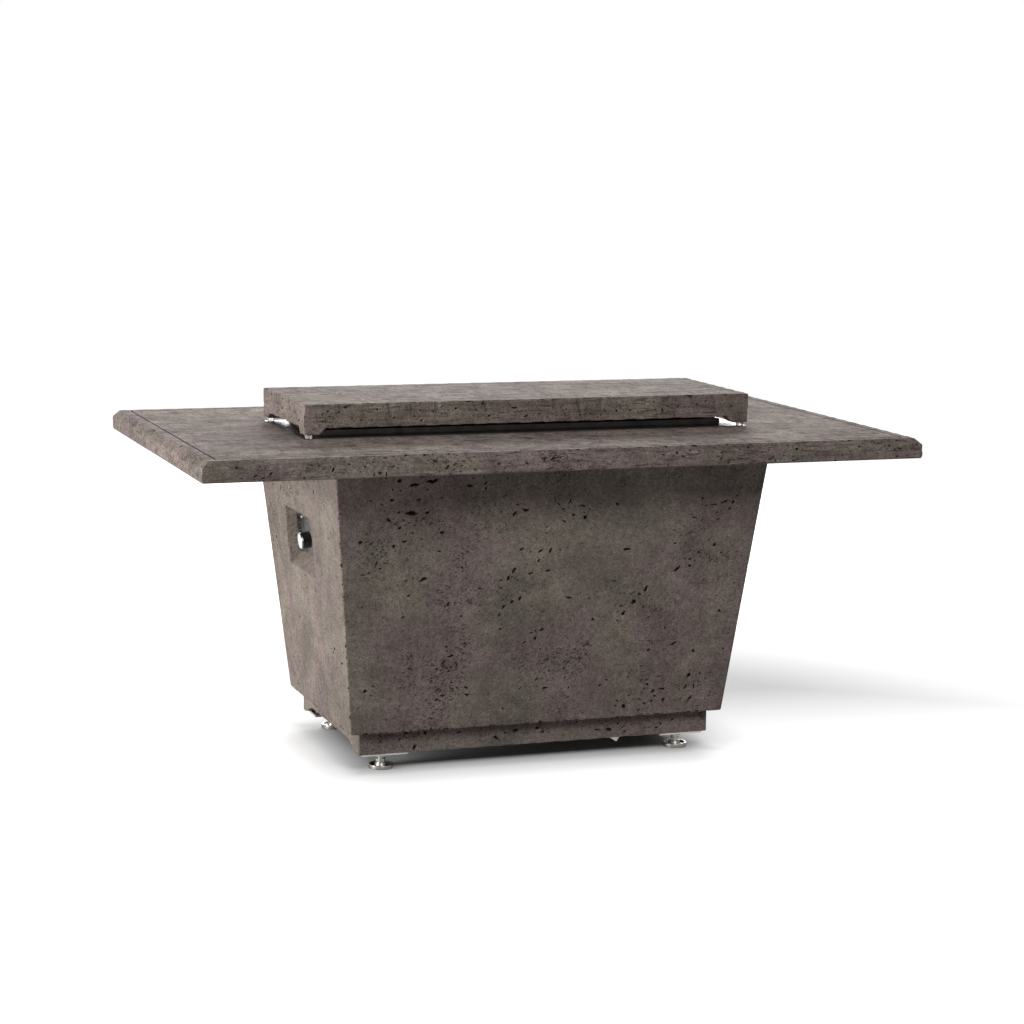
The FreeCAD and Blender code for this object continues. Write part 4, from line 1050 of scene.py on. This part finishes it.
    def pits(self) -> Mesh:
        """Returns the pits and chips of the four walls and the plinth."""
        pitting = Pitting(23)
        for start, end in SIDES:
            foot, head = ([Vector((s[0] * side[0], s[1] * side[1], z)) for s in (start, end)]
                          for side, z in ((self.foot, self.low), (self.head, self.high)))
            facing = start[1] == end[1] == -1
            long = start[1] == end[1]
            pitting.chips(*foot, outward(start, end, -0.6), 80 if long else 40)
            pitting.chips(foot[0], head[0], Vector((*start, 0.0)).normalized(), 44)
            pitting.face([*foot, *head[::-1]], 10 if long else 7, 130 if long else 90,
                         FRONT_GROUPS if facing else (), FRONT_VOIDS if facing else ())
            if long:
                half = self.plinth[0] - 8 * MM
                low, high = ([Vector((s[0] * half, s[1] * self.plinth[1], z)) for s in (start, end)]
                             for z in (self.ground + 6 * MM, self.low - 7 * MM))
                pitting.face([*low, *high[::-1]], 12, 50)
        return pitting.bm


@dataclass
class Cover(Slab):
    """The lift-off stone cover with corner feet, low arches and a relief underneath."""

    half_long: float = 444.5 * MM
    half_wide: float = 154.0 * MM
    feet: float = 631.5 * MM
    arch: float = 643.5 * MM
    high: float = 687.5 * MM
    foot_flat: float = 30.0 * MM
    foot_slope: float = 12.5 * MM
    rim: float = 46.0 * MM
    relief: float = 20.0 * MM
    pits_inset: float = 6.0 * MM

    def build(self) -> Piece:
        """Models the cover and pits it.

        Returns:
            The cover.
        """
        bm = bmesh.new()
        block(bm, (-self.half_long, -self.half_wide, self.arch),
              (self.half_long, self.half_wide, self.high))
        inner = self.foot_flat + self.foot_slope
        for sign in (-1, 1):
            for spot, way in (((sign * (self.half_long - inner), 0, 0), (1, 0, 0)),
                              ((0, sign * (self.half_wide - inner), 0), (0, 1, 0))):
                score(bm, spot, way)
        under = [f for f in bm.faces if f.normal.z < -LEVEL]
        halves = (self.half_long, self.half_wide)
        outer = [[abs(c) > half - inner for c, half in zip(f.calc_center_median(), halves)]
                 for f in under]
        corners = [f for f, far in zip(under, outer) if all(far)]
        middle = [f for f, far in zip(under, outer) if not any(far)]
        for face in corners:
            foot = bmesh.ops.extrude_discrete_faces(bm, faces=[face])["faces"][0]
            for vert in foot.verts:
                vert.co.z = self.feet
                for axis, half in ((0, self.half_long), (1, self.half_wide)):
                    if abs(vert.co[axis]) < half - MM:
                        vert.co[axis] = math.copysign(half - self.foot_flat, vert.co[axis])
        bmesh.ops.inset_region(bm, faces=middle, thickness=self.rim - inner)
        bmesh.ops.inset_region(bm, faces=middle, thickness=0.0, depth=-self.relief)
        bmesh.ops.recalc_face_normals(bm, faces=bm.faces)
        wear = Wear(width=2.6 * MM, wobble=0.4 * MM, seed=13)
        return fit(self.finished(bm, "cover_stone", wear, MM), "cover", "cast_stone", "cover_slab")

    def pits(self) -> Mesh:
        """Returns the pits and chips of the cover's top and sides."""
        x, y = self.half_long, self.half_wide
        pitting = Pitting(37, high=2.4 * MM)
        for start, end in SIDES:
            long = start[1] == end[1]
            low, high, edge = ([Vector((s[0] * x, s[1] * y, z)) for s in (start, end)]
                               for z in (self.arch + 4 * MM, self.high - 4 * MM, self.high))
            pitting.face([*low, *high[::-1]], 14 if long else 6, 70 if long else 24)
            pitting.chips(*edge, outward(start, end, 1.0), 16 if long else 8)
        inner = (x - self.pits_inset, y - self.pits_inset)
        pitting.face([Vector((s[0] * inner[0], s[1] * inner[1], self.high)) for s in RING], 14, 50)
        return pitting.bm


@dataclass
class RockBed:
    """The loose lava rocks round the burner."""

    half_long: float = 388.0 * MM
    half_wide: float = 96.0 * MM
    low: float = 556.4 * MM
    high: float = 602.0 * MM
    trench_long: float = 363.0 * MM
    trench_wide: float = 17.0 * MM
    pitch: float = 26.0 * MM
    seed: int = 71

    def build(self) -> Piece:
        """Fills the bed with two layers of ragged rocks.

        Returns:
            The rocks as one piece.
        """
        draw = random.Random(self.seed)
        bm = bmesh.new()
        columns = round(2 * self.half_long / self.pitch)
        rows = round(2 * self.half_wide / self.pitch)
        for layer, share in enumerate((0.30, 0.70)):
            for column in range(columns):
                for row in range(rows):
                    x = (column + 0.5 + 0.35 * layer) * self.pitch - self.half_long
                    y = (row + 0.5) * 2 * self.half_wide / rows - self.half_wide
                    x += draw.uniform(-0.18, 0.18) * self.pitch
                    y += draw.uniform(-0.15, 0.15) * self.pitch
                    z = self.low + share * (self.high - self.low) + draw.uniform(-2, 2) * MM
                    graft(bm, self.rock(draw, Vector((x, y, z))))
        rocks = place(bm, "lava_rocks", [LAVA.material()])
        return fit(rocks, "frame", "lava_rock", "lava_rock_bed")

    def rock(self, draw: random.Random, centre: Vector) -> Mesh:
        """Makes one rock, kept inside the bed and out of the burner's trench.

        Args:
            draw: The random draws.
            centre: Where it lies.

        Returns:
            Its mesh.
        """
        bm = bmesh.new()
        sizes = [draw.uniform(10.5, 17.0) * MM for _ in range(3)]
        turn = Matrix.Rotation(draw.uniform(0, math.pi), 4, "Z") @ Matrix.Rotation(
            draw.uniform(-0.6, 0.6), 4, "X")
        bmesh.ops.create_icosphere(bm, subdivisions=2, radius=1.0)
        shift = Vector((draw.uniform(0, 9), draw.uniform(0, 9), draw.uniform(0, 9)))
        for vert in bm.verts:
            push = 1.0 + 0.38 * noise.noise(vert.co * 1.3 + shift) + draw.uniform(-0.05, 0.05)
            local = Vector([c * s * push for c, s in zip(vert.co, sizes)])
            spot = centre + turn @ local
            spot.z = min(max(spot.z, self.low), self.high)
            spot.x = min(max(spot.x, -self.half_long), self.half_long)
            side = self.half_wide - (self.high - spot.z) * 0.2
            if abs(centre.x) < self.trench_long + 12 * MM and abs(centre.y) < 60 * MM:
                sign = math.copysign(1.0, centre.y)
                spot.y = sign * max(sign * spot.y, self.trench_wide)
            spot.y = min(max(spot.y, -side), side)
            vert.co = spot
        return bm


@dataclass
class StemSpring:
    """The coil behind the valve's stem, which shortens as the knob is pushed in."""

    lean: float = END_LEAN
    travel: float = 3.0 * MM

    def build(self) -> Piece:
        """Copies the coil's mesh into a piece of its own.

        Returns:
            The coil.
        """
        node = frame["nodes"]["stem_spring"]
        mesh = node.data.copy()
        mesh.transform(node.matrix_world)
        coil = bpy.data.objects.new("coil_spring", mesh)
        bpy.context.scene.collection.objects.link(coil)
        fit(coil, "frame", "stainless", "stem_spring")
        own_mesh(coil)
        return coil


# Studio


@dataclass
class Studio:
    """Pale floor, white surroundings, soft lamps and the camera."""

    view_from: Triple = (-1.642, -4.691, 1.216)
    yaw: float = 19.46
    pitch: float = 8.77
    roll: float = 0.72
    lens: float = 90.46
    sky_light: float = 0.03
    mirrored: float = 0.35
    aim: float = 0.4

    def build(self) -> None:
        """Sets up the whole studio."""
        self.surroundings()
        self.floor()
        self.lamp("left_key", (-4.2, -0.7, 0.9), 1.6, 165.0)
        self.lamp("back_left", (-0.5, 4.0, 1.6), 2.4, 84.0)
        self.lamp("back_right", (1.4, 3.2, 2.0), 2.0, 104.0)
        self.lamp("front_fill", (0.0, -3.3, 3.0), 1.4, 54.0)
        self.camera()

    def surroundings(self) -> None:
        """White to the camera and in reflections, dimmer as light."""
        world = bpy.data.worlds.new("surroundings")
        world.use_nodes = True
        sky = Nodes(world.node_tree)
        path = sky.add("ShaderNodeLightPath").outputs
        seen = sky.calc("MAXIMUM", path["Is Camera Ray"], path["Is Transmission Ray"])
        seen = sky.calc("MULTIPLY_ADD", path["Is Glossy Ray"], self.mirrored, seen)
        background = world.node_tree.nodes["Background"]
        background.inputs["Color"].default_value = (*WHITE, 1.0)
        sky.feed(background.inputs["Strength"], sky.span(seen, 0.0, 1.0, self.sky_light))
        bpy.context.scene.world = world

    def floor(self) -> None:
        """A wide pale floor that keeps the object's shadow, with painted shadow from dimmed
        emission.
        """
        coat = Coat("studio_floor")
        path = coat.add("ShaderNodeLightPath").outputs
        seen = coat.calc("MAXIMUM", path["Is Camera Ray"], path["Is Glossy Ray"])
        fleck = coat.span(coat.noise(30.0, 4.0), 0.3, 0.7, 0.985, 1.0)
        length = coat.add("ShaderNodeVectorMath", {0: coat.place}, operation="LENGTH")
        away = length.outputs["Value"]
        across, depth = coat.add("ShaderNodeSeparateXYZ", {0: coat.place}).outputs[:2]
        # Painted shadow: the emission dims behind and right of the table, out to 1.6 m.
        near = coat.calc("MAXIMUM", coat.span(depth, -0.45, 0.25, 1.0, 0.2),
                         coat.span(across, -0.6, 0.0, 1.0, 0.2))
        glow_with_painted_shadow = coat.calc("MAXIMUM", near, coat.span(away, 0.75, 1.6, 0.2, 1.0))
        # Painted shadow: no emission under the plinth, coming in over 8 cm past its footprint.
        under = coat.calc("MAXIMUM", coat.calc("SUBTRACT", coat.calc("ABSOLUTE", across), 0.30),
                          coat.calc("SUBTRACT", coat.calc("ABSOLUTE", depth), 0.15))
        glow_with_painted_shadow = coat.calc("MULTIPLY", glow_with_painted_shadow, coat.span(under, 0.0, 0.08))
        # Painted shadow: ambient occlusion within 14 cm dims the emission by the stone.
        sky = coat.add("ShaderNodeAmbientOcclusion", {"Distance": 0.14}, samples=8)
        shade = coat.blend(path["Is Camera Ray"], (0.32,) * 3, (0.62,) * 3)
        glow_with_painted_shadow = coat.calc("MULTIPLY", glow_with_painted_shadow, sky.outputs["AO"])
        coat.dress(Base_Color=coat.times(shade, fleck), Roughness=0.9, Specular_IOR_Level=0.1,
                   Emission_Color=WHITE, Emission_Strength=coat.calc("MULTIPLY", seen, glow_with_painted_shadow))
        bm = bmesh.new()
        bmesh.ops.create_grid(bm, x_segments=1, y_segments=1, size=30.0)
        place(bm, "floor", [coat.material], False)

    def lamp(self, name: str, spot: Triple, size: float, power: float) -> None:
        """Adds a soft square lamp that faces the table.

        Args:
            name: Its name.
            spot: Where it stands.
            size: Its side.
            power: Its power in watts.
        """
        light = bpy.data.lights.new(name, "AREA")
        light.size = size
        light.energy = power
        lamp = bpy.data.objects.new(name, light)
        lamp.location = spot
        ahead = Vector((0.0, 0.0, self.aim)) - Vector(spot)
        lamp.rotation_euler = ahead.to_track_quat("-Z", "Y").to_euler()
        bpy.context.scene.collection.objects.link(lamp)

    def camera(self) -> None:
        """The camera at the photograph's angle."""
        yaw, pitch, roll = (math.radians(a) for a in (self.yaw, self.pitch, self.roll))
        ahead = Vector((math.sin(yaw) * math.cos(pitch), math.cos(yaw) * math.cos(pitch),
                        -math.sin(pitch)))
        level = Vector((math.cos(yaw), -math.sin(yaw), 0.0))
        upward = level.cross(ahead)
        right = math.cos(roll) * level + math.sin(roll) * upward
        head = -math.sin(roll) * level + math.cos(roll) * upward
        data = bpy.data.cameras.new("camera")
        data.lens = self.lens
        data.sensor_width = 36.0
        camera = bpy.data.objects.new("camera", data)
        camera.matrix_world = Matrix.Translation(self.view_from) @ Matrix(
            (right, head, -ahead)).transposed().to_4x4()
        bpy.context.scene.collection.objects.link(camera)
        bpy.context.scene.camera = camera


def coat_nodes() -> None:
    """Gives every solid of the frame the finish of its slot."""
    materials = {slot: finish.material() for slot, finish in FINISHES.items()}
    odd = {name: finish.material() for name, finish in ODD_FINISHES.items()}
    for part in frame["record"]["subparts"]:
        node = frame["nodes"][part["node"]]
        for slot in node.material_slots:
            slot.material = odd.get(part["node"], materials[part["material_slot"]])


def main() -> None:
    """Builds the studio and every sub-assembly."""
    logging.basicConfig(level=logging.INFO, format="%(message)s")
    bpy.context.scene.view_settings.view_transform = "Standard"
    Studio().build()
    coat_nodes()
    coats = StoneCoats()
    TableTop(coats).build()
    Pedestal(coats).build()
    Cover(coats).build()
    RockBed().build()
    StemSpring().build()


if __name__ == "__main__":
    main()
